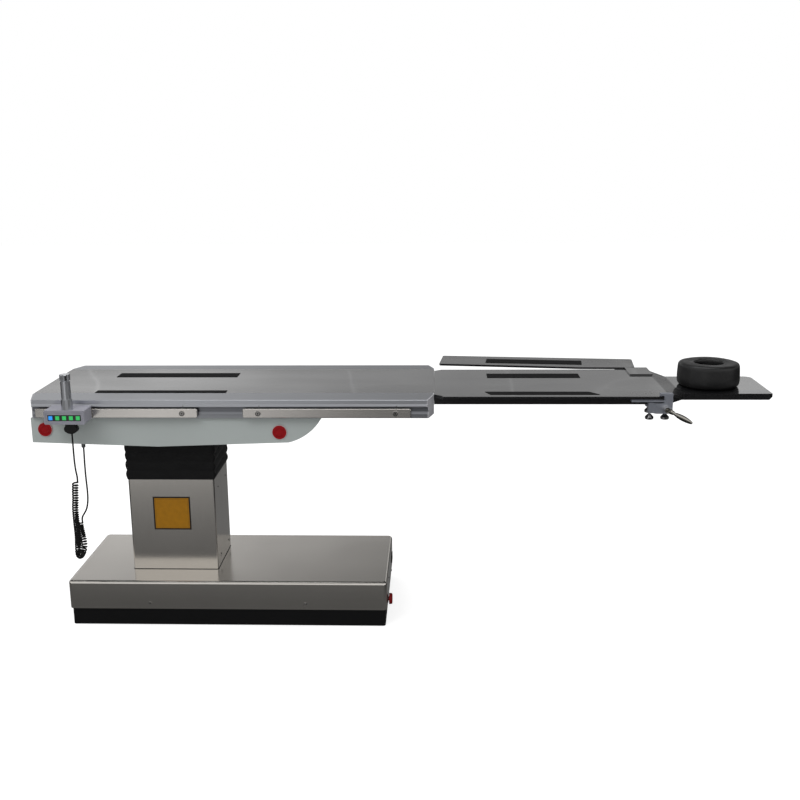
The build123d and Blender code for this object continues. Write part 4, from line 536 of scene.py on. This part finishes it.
MATERIALS = {
    "base_steel": brushed_metal("base_steel", STEEL, 0.2, "X"),
    "column_steel": brushed_metal("column_steel", STEEL, 0.2, "Z"),
    "skirt_dark": moulded("skirt_dark", shown(11, 11, 12), 0.6, grain_mm=1.2, shine=0.2),
    "base_iron": cast_metal("base_iron", shown(60, 62, 64), 0.6, metallic=0.3),
    "plate_amber": amber_plate("plate_amber"),
    "machine_steel": brushed_metal("machine_steel", shown(150, 150, 150), 0.35, "Z"),
    "rod_chrome": turned_metal("rod_chrome", shown(205, 207, 210), 0.1),
    "inner_aluminium": brushed_metal("inner_aluminium", shown(175, 177, 180), 0.35, "Z"),
    "frame_paint": painted("frame_paint", shown(120, 124, 126), 0.45),
    "motor_paint": painted("motor_paint", shown(60, 64, 68), 0.4),
    "housing_paint": painted("housing_paint", HOUSING, 0.42),
    "bellows_cloth": bellows_fabric("bellows_cloth"),
    "cap_red": badge_red("cap_red"),
    "carbon": carbon_laminate("carbon"),
    "profile_aluminium": profile_metal("profile_aluminium"),
    "end_cap_grey": moulded("end_cap_grey", shown(176, 176, 180), 0.4),
    "rail_steel": brushed_metal("rail_steel", RAIL_STEEL, 0.24, "X", streak_mm=0.9),
    "bolt_steel": turned_metal("bolt_steel", shown(165, 163, 160), 0.25),
    "strip_rubber": moulded("strip_rubber", shown(17, 17, 18), 0.75, shine=0.12),
    "ring_leather": ring_leather("ring_leather"),
    "clamp_steel": cast_metal("clamp_steel", CLAMP_BLUE, 0.36, relief_mm=0.02),
    "knob_steel": turned_metal("knob_steel", shown(158, 157, 158), 0.18),
    "dark_screw": turned_metal("dark_screw", shown(70, 68, 66), 0.35),
    "lever_steel": turned_metal("lever_steel", shown(168, 165, 158), 0.2),
    "box_grey": moulded("box_grey", CASE_GREY, 0.4, relief_mm=0.02),
    "window_black": moulded(
        "window_black", shown(14, 14, 17), 0.2, coat=0.3, relief_mm=0.005
    ),
    "lamp_blue": painted_glow_key("lamp_blue", shown(40, 140, 225), 0.5),
    "lamp_green": painted_glow_key("lamp_green", shown(40, 170, 85), 0.45),
    "grip_aluminium": brushed_metal(
        "grip_aluminium", shown(192, 194, 198), 0.3, "Z", streak_mm=0.5
    ),
    "grip_chrome": turned_metal("grip_chrome", shown(210, 212, 216), 0.12),
    "stop_red": moulded("stop_red", shown(112, 5, 9), 0.4, shine=0.2),
    "collar_grey": moulded("collar_grey", shown(60, 60, 62), 0.45),
    "inlet_black": moulded("inlet_black", shown(24, 24, 25), 0.45),
    "unit_paint": painted("unit_paint", shown(96, 100, 104), 0.45),
    "cord_black": moulded(
        "cord_black", shown(9, 9, 10), 0.5, grain_mm=0.4, relief_mm=0.01, shine=0.3
    ),
    "gland_metal": turned_metal("gland_metal", shown(120, 122, 124), 0.3),
}

# Nodes whose look is not the one of their slot
NODE_LOOKS = {
    "base_cover": "base_steel",
    "column_cover_front": "column_steel",
    "column_cover_rear": "column_steel",
    "clamp_lever": "lever_steel",
}


def dress_nodes():
    """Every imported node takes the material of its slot, or the one named for it."""
    for name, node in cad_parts.items():
        for slot in node.material_slots:
            look = NODE_LOOKS.get(name, slot.material.name.split(".")[0])
            slot.material = MATERIALS[look]


# Pieces in mesh code


def mesh_piece(name, points, faces, material, smooth=True):
    """A new mesh piece from points and faces."""
    mesh = bpy.data.meshes.new(name)
    mesh.from_pydata([tuple(point) for point in points], [], faces)
    mesh.validate()
    mesh.materials.append(MATERIALS[material])
    mesh.shade_smooth() if smooth else mesh.shade_flat()
    piece = bpy.data.objects.new(name, mesh)
    bpy.context.scene.collection.objects.link(piece)
    return piece


def ring_faces(rings, around, closed=False, flipped=False):
    """Quads between rings of points, each ring of the same number of points."""
    faces = []
    for row in range(rings if closed else rings - 1):
        here = row * around
        after = (row + 1) % rings * around
        for step in range(around):
            other = (step + 1) % around
            face = (here + step, here + other, after + other, after + step)
            faces.append((face[0], face[3], face[2], face[1]) if flipped else face)
    return faces


def circle_offset(across, other, step, steps):
    """The direction of a step round a circle that two directions span."""
    angle = 2 * math.pi * step / steps
    return across * math.cos(angle) + other * math.sin(angle)


def end_faces(count, around):
    """Faces that close the first and the last ring of points."""
    return tuple(reversed(range(around))), tuple(range(count - around, count))


# Control cord: two plain leads and a curly stretch, from the box to the housing

CORD_RADIUS = 2.75 * MM
CURL_RADIUS = 8.2 * MM
CURL_BEND = 9.0 * MM
TUBE_SIDES = 10
POINTS_PER_CURL = 20
BEND_STEPS = 5
ROUTE_RESOLUTION = 24

LEAD_BOX_ROUTE = (
    (-0.459, -0.315, 0.715),
    (-0.459, -0.315, 0.68),
    (-0.4593, -0.3146, 0.644),
    (-0.4589, -0.3143, 0.612),
    (-0.4572, -0.314, 0.587),
    (-0.4543, -0.314, 0.57),
    (-0.4543, -0.314, 0.5605),
)
COIL_ROUTE = (
    (-0.4625, -0.314, 0.5605),
    (-0.4625, -0.314, 0.542),
    (-0.4658, -0.3135, 0.516),
    (-0.4666, -0.313, 0.49),
    (-0.4704, -0.3125, 0.462),
    (-0.4708, -0.312, 0.434),
    (-0.4704, -0.312, 0.406),
    (-0.469, -0.312, 0.362),
    (-0.4715, -0.312, 0.328),
    (-0.4725, -0.312, 0.2943),
    (-0.474, -0.284, 0.2782),
    (-0.4705, -0.256, 0.2943),
    (-0.4705, -0.256, 0.326),
    (-0.475, -0.256, 0.352),
    (-0.4785, -0.256, 0.38),
    (-0.4785, -0.256, 0.398),
)
LEAD_SOCKET_ROUTE = (
    (-0.4703, -0.256, 0.398),
    (-0.4703, -0.256, 0.407),
    (-0.4615, -0.256, 0.42),
    (-0.4515, -0.256, 0.437),
    (-0.4455, -0.2555, 0.466),
    (-0.4453, -0.254, 0.502),
    (-0.4485, -0.25, 0.545),
    (-0.4505, -0.245, 0.59),
    (-0.452, -0.238, 0.63),
    (-0.452, -0.238, 0.646),
)
# The point of COIL_ROUTE at the bottom of the hanging loop
LOOP_BOTTOM = 10
# Spacing of the curls in mm at shares of the coil's length
CURL_PLACES = (0, 0.26, 0.34, 0.53, 0.58, 0.825, 0.87, 1)
CURL_PITCHES = (8.9, 8.4, 6.6, 6.5, 9.1, 9.1, 6.7, 6.8)


def spline_points(route):
    """Points along a route's smooth line, close together."""
    curve = bpy.data.curves.new("route", "CURVE")
    curve.dimensions = "3D"
    spline = curve.splines.new("NURBS")
    spline.points.add(len(route) - 1)
    for point, place in zip(spline.points, route):
        point.co = (*place, 1)
    spline.order_u = 3
    spline.use_endpoint_u = True
    spline.resolution_u = ROUTE_RESOLUTION
    holder = bpy.data.objects.new("route", curve)
    mesh = bpy.data.meshes.new_from_object(holder)
    points = [vertex.co.copy() for vertex in mesh.vertices]
    bpy.data.meshes.remove(mesh)
    bpy.data.objects.remove(holder)
    bpy.data.curves.remove(curve)
    return points


class Line:
    """A line of close points that is read by the distance along it."""

    def __init__(self, points):
        self.points = points
        self.places = [0.0]
        for before, after in zip(points, points[1:]):
            self.places.append(self.places[-1] + (after - before).length)
        self.length = self.places[-1]

    def point(self, along):
        """The point at a distance."""
        along = min(max(along, 0), self.length)
        index = 1
        while index < len(self.places) - 1 and self.places[index] < along:
            index += 1
        before, after = self.points[index - 1], self.points[index]
        share = (along - self.places[index - 1]) / (self.places[index] - self.places[index - 1])
        return before.lerp(after, share)

    def direction(self, along):
        """The direction at a distance, over one cord diameter."""
        return (self.point(along + CORD_RADIUS) - self.point(along - CORD_RADIUS)).normalized()


def curl_pitch(share):
    """Spacing of the curls at a share of the middle line."""
    places = list(zip(CURL_PLACES, CURL_PITCHES))
    for (start, start_pitch), (end, end_pitch) in zip(places, places[1:]):
        if share <= end:
            mixed = start_pitch + (end_pitch - start_pitch) * (share - start) / (end - start)
            return mixed * MM
    return CURL_PITCHES[-1] * MM


def curl_stations(middle):
    """Distance and phase of each point of the curls: an end, a bend, turns, a bend, an end."""
    rise = math.atan2(curl_pitch(0), 2 * math.pi * CURL_RADIUS)
    run = 2 * CORD_RADIUS
    first = run + CURL_BEND * math.cos(rise)
    last = middle.length - first
    stations = [first]
    while stations[-1] < last:
        stations.append(stations[-1] + curl_pitch(stations[-1] / middle.length) / POINTS_PER_CURL)
    squeeze = (last - first) / (stations[-1] - first)
    steps = len(stations) - 1
    whole = 2 * math.pi * round(steps / POINTS_PER_CURL)
    bend_phase = CURL_BEND * (1 - math.sin(rise)) / CURL_RADIUS
    angles = [(math.pi / 2 - rise) * step / BEND_STEPS for step in range(BEND_STEPS)]
    bend = [
        (run + CURL_BEND * math.sin(angle), CURL_BEND * (1 - math.cos(angle)) / CURL_RADIUS)
        for angle in angles
    ]
    turns = [
        (first + (station - first) * squeeze, bend_phase + (whole - 2 * bend_phase) * step / steps)
        for step, station in enumerate(stations)
    ]
    back = [(middle.length - along, whole - phase) for along, phase in reversed(bend)]
    return [(0, 0)] + bend + turns + back + [(middle.length, whole)]


def curl_points(route):
    """The curly wire's points round its route."""
    middle = Line(spline_points(route))
    points = []
    for along, phase in curl_stations(middle):
        forward = middle.direction(along)
        side = (Vector((1, 0, 0)) - forward * forward.x).normalized()
        offset = side * math.cos(phase) - forward.cross(side) * math.sin(phase)
        points.append(middle.point(along) + offset * CURL_RADIUS)
    return points


def tube(name, path, radius, sides, material):
    """A round tube along a path, with a frame that turns no more than the path does."""
    directions = []
    for number in range(len(path)):
        before = path[max(number - 1, 0)]
        after = path[min(number + 1, len(path) - 1)]
        directions.append((after - before).normalized())
    across = directions[0].orthogonal().normalized()
    points = []
    for place, direction in zip(path, directions):
        across = (across - direction * across.dot(direction)).normalized()
        other = direction.cross(across)
        for side in range(sides):
            points.append(place + circle_offset(across, other, side, sides) * radius)
    faces = ring_faces(len(path), sides) + list(end_faces(len(points), sides))
    return mesh_piece(name, points, faces, material)


def make_cord():
    """The cord in two pieces that meet at the bottom of its loop."""
    curls = curl_points(COIL_ROUTE)
    loop = Vector(COIL_ROUTE[LOOP_BOTTOM])
    bottom = min(range(len(curls)), key=lambda number: (curls[number] - loop).length)
    box_path = spline_points(LEAD_BOX_ROUTE)[:-1] + curls[: bottom + 1]
    socket_path = curls[bottom:] + spline_points(LEAD_SOCKET_ROUTE)[1:]
    hanging = tube("control_cord", box_path, CORD_RADIUS, TUBE_SIDES, "cord_black")
    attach(hanging, "top")
    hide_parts("cord_lead_box", "cord_coil")
    lead = tube("control_cord_to_housing", socket_path, CORD_RADIUS, TUBE_SIDES, "cord_black")
    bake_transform(lead)
    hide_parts("cord_lead_socket")


# Bellows: a folded cloth sleeve between the column cover and the housing

BELLOWS_RINGS = 110
BELLOWS_SIDE_STEPS = 44
BELLOWS_CORNER_STEPS = 9
BELLOWS_CORNER = 12 * MM
BELLOWS_SIDE_GROWTH = 4.5 * MM
BELLOWS_FRONT_LOSS = 0.5 * MM
BELLOWS_HEAD_INSET = 0.9 * MM
# Where each fold starts, as a share of the height, and its depth in mm
BELLOWS_FOLDS = ((0.0, 8.0), (0.19, 8.0), (0.4, 7.5), (0.6, 3.0), (0.76, 12.0), (0.97, 12.0))
# Depth of the folds on the front and rear, as a share of that on the sides
BELLOWS_FRONT_SHARE = 0.16


def rounded_outline(half_x, half_y, corner, side_steps, corner_steps):
    """Points round a rounded rectangle, with the outward direction at each."""
    outline = []
    corners = ((1, -1, -90), (1, 1, 0), (-1, 1, 90), (-1, -1, 180))

    def corner_point(number, turn):
        """The point of a corner at a turn in degrees, and the outward direction there."""
        sign_x, sign_y, start = corners[number % 4]
        angle = math.radians(start + turn)
        outward = Vector((math.cos(angle), math.sin(angle), 0))
        middle = Vector((sign_x * (half_x - corner), sign_y * (half_y - corner), 0))
        return middle + outward * corner, outward

    for number in range(4):
        for step in range(corner_steps + 1):
            outline.append(corner_point(number, 90 * step / corner_steps))
        side_start, outward = corner_point(number, 90)
        side_end, _ = corner_point(number + 1, 0)
        for step in range(1, side_steps):
            outline.append((side_start.lerp(side_end, step / side_steps), outward))
    return outline


def fold_inset(level):
    """How far the cloth lies inside its fold's crest at a share of the height."""
    fold = max(index for index, (start, _) in enumerate(BELLOWS_FOLDS) if start <= level)
    start, depth = BELLOWS_FOLDS[fold]
    end = BELLOWS_FOLDS[fold + 1][0] if fold + 1 < len(BELLOWS_FOLDS) else 1.0
    bulge = math.sin(math.pi * (level - start) / (end - start)) ** 0.6
    return depth * MM * (1 - bulge)


def make_bellows():
    """Sagging folds, deepest at the sides, as the cloth hangs at rest."""
    low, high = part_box("bellows")
    centre = (low + high) / 2
    half_x = (high.x - low.x) / 2 + BELLOWS_SIDE_GROWTH
    half_y = (high.y - low.y) / 2 - BELLOWS_FRONT_LOSS
    outline = rounded_outline(
        half_x, half_y, BELLOWS_CORNER, BELLOWS_SIDE_STEPS, BELLOWS_CORNER_STEPS
    )
    points = []
    for ring in range(BELLOWS_RINGS):
        share = ring / (BELLOWS_RINGS - 1)
        arch = math.sin(math.pi * share)
        for number, (place, outward) in enumerate(outline):
            around = 2 * math.pi * number / len(outline)
            sag = 0.02 * math.sin(2 * around + 0.7) + 0.012 * math.sin(5 * around)
            level = min(max(share + sag * arch, 0), 0.999)
            sideways = abs(outward.x) ** 3
            strength = BELLOWS_FRONT_SHARE + (1 - BELLOWS_FRONT_SHARE) * sideways
            inset = fold_inset(level) * strength
            if outward.x > 0.5:
                inset += BELLOWS_HEAD_INSET
            slack = (1.2 - 0.8 * sideways) * arch
            ripple = math.sin(9 * around + 13 * level) + 0.6 * math.sin(23 * around - 17 * level)
            point = centre + place - outward * (inset - 0.4 * slack * MM * ripple)
            point.z = low.z + (high.z - low.z) * share
            points.append(point)
    faces = ring_faces(BELLOWS_RINGS, len(outline))
    bellows = mesh_piece("bellows_sleeve", points, faces, "bellows_cloth")
    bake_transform(bellows)
    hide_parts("bellows")


# Head ring: a padded ring with a tucked underside and drawn-in edges round its top

RING_AROUND = 160
RING_SECTION_STEPS = 72
RING_HOLE = 48 * MM


def make_head_ring():
    """The padded ring, its sides slightly crowned and its edges drawn in."""
    low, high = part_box("head_ring")
    centre = (low + high) / 2
    outer = (high.x - low.x) / 2
    hole = RING_HOLE
    height = high.z - low.z
    profile = (
        (hole + 7 * MM, 0.0),
        (hole + 1.5 * MM, 0.05 * height),
        (hole, 0.18 * height),
        (hole, 0.5 * height),
        (hole, 0.86 * height),
        (hole + 0.5 * MM, 0.94 * height),
        (hole + 3 * MM, 0.985 * height),
        (hole + 8 * MM, 0.98 * height),
        (hole + 16 * MM, height),
        (outer - 26 * MM, height),
        (outer - 16 * MM, 0.995 * height),
        (outer - 8.5 * MM, 0.975 * height),
        (outer - 4 * MM, 0.93 * height),
        (outer - 2.4 * MM, 0.86 * height),
        (outer - 1.6 * MM, 0.72 * height),
        (outer - 0.6 * MM, 0.5 * height),
        (outer, 0.32 * height),
        (outer - 0.8 * MM, 0.18 * height),
        (outer - 4.5 * MM, 0.06 * height),
        (outer - 12 * MM, 0.0),
    )
    line = Line(spline_points([(radius, 0, level) for radius, level in profile]))
    steps = RING_SECTION_STEPS
    outline = [line.point(line.length * step / steps) for step in range(steps + 1)]
    points = []
    for step in range(RING_AROUND):
        angle = 2 * math.pi * step / RING_AROUND
        pull = 1 + 0.004 * math.sin(5 * angle) + 0.003 * math.sin(13 * angle + 1)
        dip = 0.35 * MM * (1 + math.sin(4 * angle))
        for spot in outline:
            lift = spot.z if spot.z < 0.3 * height else spot.z - dip
            radius = min(spot.x * pull, outer)
            place_x = centre.x + radius * math.cos(angle)
            place_y = centre.y + radius * math.sin(angle)
            points.append((place_x, place_y, low.z + lift))
    faces = ring_faces(RING_AROUND, len(outline), closed=True, flipped=True)
    ring = mesh_piece("head_ring_pad", points, faces, "ring_leather")
    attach(ring, "top")
    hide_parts("head_ring")


# Small fittings: screws, dark rings and sockets of painted shade on the rail bolts, the bead round
# the column's foot


def lathe(name, profile, root, axis, material, sides=20, hollow=False):
    """A small turned piece: radii and heights along an axis from its root."""
    across = axis.orthogonal().normalized()
    other = axis.cross(across)
    points = []
    for radius, height in profile:
        for side in range(sides):
            offset = circle_offset(across, other, side, sides) * radius
            points.append(root + axis * height + offset)
    faces = ring_faces(len(profile), sides, closed=hollow)
    if not hollow:
        faces.extend(reversed(end_faces(len(points), sides)))
    return mesh_piece(name, points, faces, material, smooth=False)


def socket_screw(name, root, axis, radius, body, material="bolt_steel"):
    """A low screw with a rounded head and a sunk socket, seated on a face."""
    profile = (
        (radius, -0.3 * MM),
        (radius, 0.35 * radius),
        (0.75 * radius, 0.6 * radius),
        (0.45 * radius, 0.6 * radius),
        (0.42 * radius, 0.15 * radius),
    )
    screw = lathe(name, profile, Vector(root), Vector(axis), material)
    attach(screw, body)


BASE_SCREW_RADIUS = 2.6 * MM
COLUMN_SCREW_RADIUS = 2.2 * MM
SMALL_SCREW_RADIUS = 2.0 * MM
# X of the screws in the base cover's long sides, and their height
BASE_SIDE_SCREWS = (-0.2713, 0.2713)
BASE_SIDE_SCREW_Z = 0.085
# Y and Z of the screws in its head end
BASE_END_SCREWS = ((-0.09, 0.125), (0.13, 0.06))
# Heights of the screws in the column's head side
COLUMN_SCREWS = (("low", 0.2), ("high", 0.45))
# X and Y of the screws in the extension's top
PANEL_SCREWS = (1.3594, 1.4034, 1.4254)
PANEL_SCREW_Y = -0.168


def make_cover_screws():
    """Screws of the base cover and the column covers."""
    low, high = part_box("base_cover")
    for number, place_x in enumerate(BASE_SIDE_SCREWS):
        for end, side, face_y in (("near", -1, low.y), ("far", 1, high.y)):
            name = "base_side_screw_%d_%s" % (number + 1, end)
            root = (place_x, face_y, BASE_SIDE_SCREW_Z)
            socket_screw(name, root, (0, side, 0), BASE_SCREW_RADIUS, "base", "dark_screw")
    for number, (place_y, place_z) in enumerate(BASE_END_SCREWS):
        name = "base_end_screw_%d" % (number + 1)
        root = (high.x, place_y, place_z)
        socket_screw(name, root, (1, 0, 0), BASE_SCREW_RADIUS, "base", "dark_screw")
    covers = (("near", "column_cover_front", -0.055), ("far", "column_cover_rear", 0.075))
    for end, cover, place_y in covers:
        for height_name, place_z in COLUMN_SCREWS:
            name = "column_screw_%s_%s" % (end, height_name)
            root = (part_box(cover)[1].x, place_y, place_z)
            socket_screw(name, root, (1, 0, 0), COLUMN_SCREW_RADIUS, "base", "dark_screw")


RAIL_BOLTS = (-0.538, -0.106, 0.1415, 0.586)
BOLT_SINK = 0.6 * MM
# Radii and heights of the dark ring of painted shade round a rail bolt's head and of the dark
# hexagon of painted shade in its socket
BOLT_SHADE_RING = ((7.7 * MM, 0), (7.7 * MM, 0.75 * MM), (5.8 * MM, 0.9 * MM), (5.8 * MM, 0))
BOLT_SOCKET_SHADE = ((3.2 * MM, 0), (3.2 * MM, 0.8 * MM), (2.2 * MM, 0.85 * MM))
# The lip's screws stand beside the bolts
LIP_SCREW_SHIFT = 4 * MM


def make_rail_bolts():
    """Dark ring and socket of painted shade on each rail bolt, and the screws in the lip over the
    rails.
    """
    lip_low, lip_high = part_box("side_profiles")
    bolt_low, bolt_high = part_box("rail_bolts")
    sides = (("near", -1, lip_low.y, bolt_low.y), ("far", 1, lip_high.y, bolt_high.y))
    for end, side, face, head in sides:
        outward = Vector((0, side, 0))
        for number, place_x in enumerate(RAIL_BOLTS):
            name = "rail_bolt_%d_%s" % (number + 1, end)
            middle = Vector((place_x, head - side * BOLT_SINK, (bolt_low.z + bolt_high.z) / 2))
            # Painted shade: a dark ring round the bolt's head and a dark hexagon in its socket
            ring = lathe(name + "_ring", BOLT_SHADE_RING, middle, outward, "dark_screw", hollow=True)
            socket = lathe(name + "_socket", BOLT_SOCKET_SHADE, middle, outward, "dark_screw", sides=6)
            root = (place_x + LIP_SCREW_SHIFT, face, lip_high.z - LIP_DROP)
            socket_screw(name + "_lip_screw", root, outward, SMALL_SCREW_RADIUS, "top")
            for piece in (ring, socket):
                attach(piece, "top")


def make_panel_screws():
    """Screws in the extension's top beside the clamp."""
    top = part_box("extension_panel")[1].z
    for number, place_x in enumerate(PANEL_SCREWS):
        name = "panel_screw_%d" % (number + 1)
        root = (place_x, PANEL_SCREW_Y, top)
        socket_screw(name, root, (0, 0, 1), SMALL_SCREW_RADIUS, "top")


BEAD_RADIUS = 1.4 * MM
BEAD_SIDES = 8
BEAD_CORNER = 6 * MM
BEAD_RISE = 0.4 * MM


def make_foot_bead():
    """A thin dark bead where the column covers meet the base cover."""
    low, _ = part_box("column_cover_front")
    _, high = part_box("column_cover_rear")
    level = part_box("base_cover")[1].z + BEAD_RISE
    centre = Vector(((low.x + high.x) / 2, (low.y + high.y) / 2, level))
    outline = rounded_outline((high.x - low.x) / 2, (high.y - low.y) / 2, BEAD_CORNER, 6, 6)
    points = []
    for place, outward in outline:
        for side in range(BEAD_SIDES):
            offset = circle_offset(outward, Vector((0, 0, 1)), side, BEAD_SIDES)
            points.append(centre + place + offset * BEAD_RADIUS)
    faces = ring_faces(len(outline), BEAD_SIDES, closed=True)
    bead = mesh_piece("column_foot_bead", points, faces, "cord_black")
    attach(bead, "base")


# Studio: a pale floor, soft lamps and a white surround


def add_lamp(name, place, target, size, power, mirrored):
    """A large soft lamp that faces a target, seen in mirrors or not."""
    data = bpy.data.lights.new(name, "AREA")
    data.shape = "RECTANGLE"
    data.size, data.size_y = size
    data.energy = power
    lamp = bpy.data.objects.new(name, data)
    bpy.context.scene.collection.objects.link(lamp)
    lamp.location = place
    lamp.rotation_euler = (Vector(target) - Vector(place)).to_track_quat("-Z", "Y").to_euler()
    lamp.visible_glossy = mirrored


# How bright mirrors find the floor, from its far front to behind the object
FLOOR_MIRROR_SPAN = (-3.2, 0.4)
FLOOR_MIRROR = (
    (0.0, 0.95), (0.22, 0.8), (0.44, 0.3), (0.6, 0.2), (0.7, 0.16), (0.77, 0.11), (1.0, 0.17),
)
FLOOR_HALF = 14.0
FLOOR_Z = -0.5 * MM
FLOOR_GLOW = 0.78

# How bright mirrors find the studio behind the object, by height and by heading
BACK_HEIGHTS = (
    (0.0, 0.3), (0.15, 0.35), (0.197, 0.75), (0.21, 1.0), (0.26, 1.0), (0.39, 0.8),
    (0.43, 0.06), (0.95, 0.06), (0.97, 1.0),
)
BACK_HEADINGS = (
    (0.0, 1.0), (0.15, 1.0), (0.23, 0.68), (0.3, 0.52), (0.35, 0.48), (0.44, 0.54),
    (0.47, 0.5), (0.53, 0.85), (0.57, 0.85), (0.66, 0.42),
)
HEADING_SPAN = (-0.5, 1.0)
WORLD_LIGHT = 0.62


def mix_shaders(tree, share, first, second):
    """A first shader carried towards a second one by a share."""
    mix = add_node(tree, "ShaderNodeMixShader", {"Fac": share})
    tree.links.new(first, mix.inputs[1])
    tree.links.new(second, mix.inputs[2])
    return mix.outputs[0]


def direct_rays(tree):
    """Which rays come straight or through glass from the camera, and which from a mirror."""
    rays = add_node(tree, "ShaderNodeLightPath").outputs
    direct = combine(tree, "MAXIMUM", rays["Is Camera Ray"], rays["Is Transmission Ray"])
    return direct, rays["Is Glossy Ray"]


def floor_mirror_level(tree):
    """How bright mirrors find each place on the floor, with dark areas by place."""
    place = add_node(tree, "ShaderNodeNewGeometry").outputs["Position"]
    parts = add_node(tree, "ShaderNodeSeparateXYZ", {"Vector": place}).outputs
    reach = remap(tree, parts["Y"], *FLOOR_MIRROR_SPAN, 0.0, 1.0)
    depth = grey_ramp(tree, reach, FLOOR_MIRROR)
    # Far in front, darker towards the head end
    front = remap(tree, parts["Y"], -2.4, -1.4, 1.0, 0.0, smooth=True)
    dim = remap(tree, parts["X"], -1.1, 0.45, 0.0, 0.85, smooth=True)
    dim = combine(tree, "ADD", dim, remap(tree, parts["X"], 0.5, 0.9, 0.0, 0.12, smooth=True))
    dim = combine(tree, "MULTIPLY", dim, front)
    # Near the table, darker past its two ends
    aside = distance(tree, parts["X"], -0.2)
    edge = remap(tree, aside, 0.95, 1.25, 0.0, 0.85, smooth=True)
    near = remap(tree, parts["Y"], -1.6, -1.2, 0.0, 1.0, smooth=True)
    dim = combine(tree, "MAXIMUM", dim, combine(tree, "MULTIPLY", edge, near))
    # Far in front and to the left, dark again
    corner = remap(tree, parts["X"], -1.66, -1.52, 0.8, 0.0, smooth=True)
    dim = combine(tree, "MAXIMUM", dim, combine(tree, "MULTIPLY", corner, front))
    return combine(tree, "MULTIPLY", depth, combine(tree, "SUBTRACT", 1.0, dim))


def make_floor():
    """A pale floor that the camera sees as white, apart from the object's shadow."""
    mesh = bpy.data.meshes.new("floor")
    corners = ((-1, -1), (1, -1), (1, 1), (-1, 1))
    points = [(x * FLOOR_HALF, y * FLOOR_HALF, FLOOR_Z) for x, y in corners]
    mesh.from_pydata(points, [], [(0, 1, 2, 3)])
    floor = bpy.data.objects.new("floor", mesh)
    bpy.context.scene.collection.objects.link(floor)
    material = bpy.data.materials.new("floor")
    material.use_nodes = True
    tree = material.node_tree
    tree.nodes.clear()
    level = floor_mirror_level(tree)
    pale = add_node(tree, "ShaderNodeBsdfDiffuse", {"Color": (0.5, 0.5, 0.5, 1)}).outputs["BSDF"]
    glow = add_node(tree, "ShaderNodeEmission", {"Strength": FLOOR_GLOW}).outputs["Emission"]
    seen = add_node(tree, "ShaderNodeAddShader")
    tree.links.new(pale, seen.inputs[0])
    tree.links.new(glow, seen.inputs[1])
    mirrored = add_node(tree, "ShaderNodeEmission", {"Strength": level}).outputs["Emission"]
    direct, glossy = direct_rays(tree)
    unmirrored = mix_shaders(tree, direct, pale, seen.outputs[0])
    output = add_node(tree, "ShaderNodeOutputMaterial")
    shader = mix_shaders(tree, glossy, unmirrored, mirrored)
    tree.links.new(shader, output.inputs["Surface"])
    mesh.materials.append(material)


def drape_level(tree, heading):
    """Soft folds and thin bright creases of the cloth behind the object."""
    wide = add_node(tree, "ShaderNodeMapping", {"Vector": heading, "Scale": (2, 2, 7)}).outputs[0]
    fine = add_node(tree, "ShaderNodeMapping", {"Vector": heading, "Scale": (5, 5, 9)}).outputs[0]
    drape = remap(tree, noise(tree, wide, 2.2), 0.35, 0.65, 0.88, 1.08, smooth=True)
    from_crease = distance(tree, noise(tree, fine, 1.4), 0.5)
    return combine(tree, "ADD", drape, remap(tree, from_crease, 0.0, 0.012, 0.22, 0.0))


def make_world():
    """Soft plain light all round; the camera sees white and mirrors a shaded studio."""
    world = bpy.data.worlds.new("studio")
    bpy.context.scene.world = world
    world.use_nodes = True
    tree = world.node_tree
    tree.nodes.clear()
    heading = add_node(tree, "ShaderNodeTexCoord").outputs["Generated"]
    parts = add_node(tree, "ShaderNodeSeparateXYZ", {"Vector": heading}).outputs
    back = remap(tree, parts["Y"], -0.1, 0.1, 0.0, 1.0, smooth=True)
    height = grey_ramp(tree, parts["Z"], BACK_HEIGHTS)
    slope = combine(tree, "DIVIDE", parts["X"], combine(tree, "MAXIMUM", parts["Y"], 0.05))
    side = grey_ramp(tree, remap(tree, slope, *HEADING_SPAN, 0.0, 1.0), BACK_HEADINGS)
    shaded = combine(tree, "MULTIPLY", height, side)
    behind = combine(tree, "MULTIPLY", shaded, drape_level(tree, heading))
    ahead = remap(tree, parts["Z"], 0.45, 0.9, 1.0, 0.35)
    direct, glossy = direct_rays(tree)
    level = combine(tree, "MAXIMUM", direct, mix_colours(tree, back, ahead, behind))
    light = add_node(tree, "ShaderNodeBackground", {"Strength": WORLD_LIGHT})
    white = add_node(tree, "ShaderNodeBackground", {"Strength": level})
    for background in (light, white):
        background.inputs["Color"].default_value = (1, 1, 1, 1)
    seen = combine(tree, "MAXIMUM", direct, glossy)
    output = add_node(tree, "ShaderNodeOutputWorld")
    shader = mix_shaders(tree, seen, light.outputs[0], white.outputs[0])
    tree.links.new(shader, output.inputs["Surface"])


# Name, place, target, size and power of each lamp, and whether mirrors show it
LAMPS = (
    ("lamp_top", (0.4, 0.4, 4.2), (0.4, 0, 0.6), (4.0, 3.0), 62, True),
    ("lamp_front", (-1.6, -3.6, 4.6), (0.3, 0, 0.5), (2.6, 2.2), 66, False),
)


def make_studio():
    """World, floor and lamps at a plain level."""
    make_world()
    make_floor()
    for lamp in LAMPS:
        add_lamp(*lamp)


bpy.context.scene.view_settings.view_transform = "Standard"
make_camera()
make_studio()
dress_nodes()
make_cord()
make_bellows()
make_head_ring()
make_cover_screws()
make_rail_bolts()
make_panel_screws()
make_foot_bead()
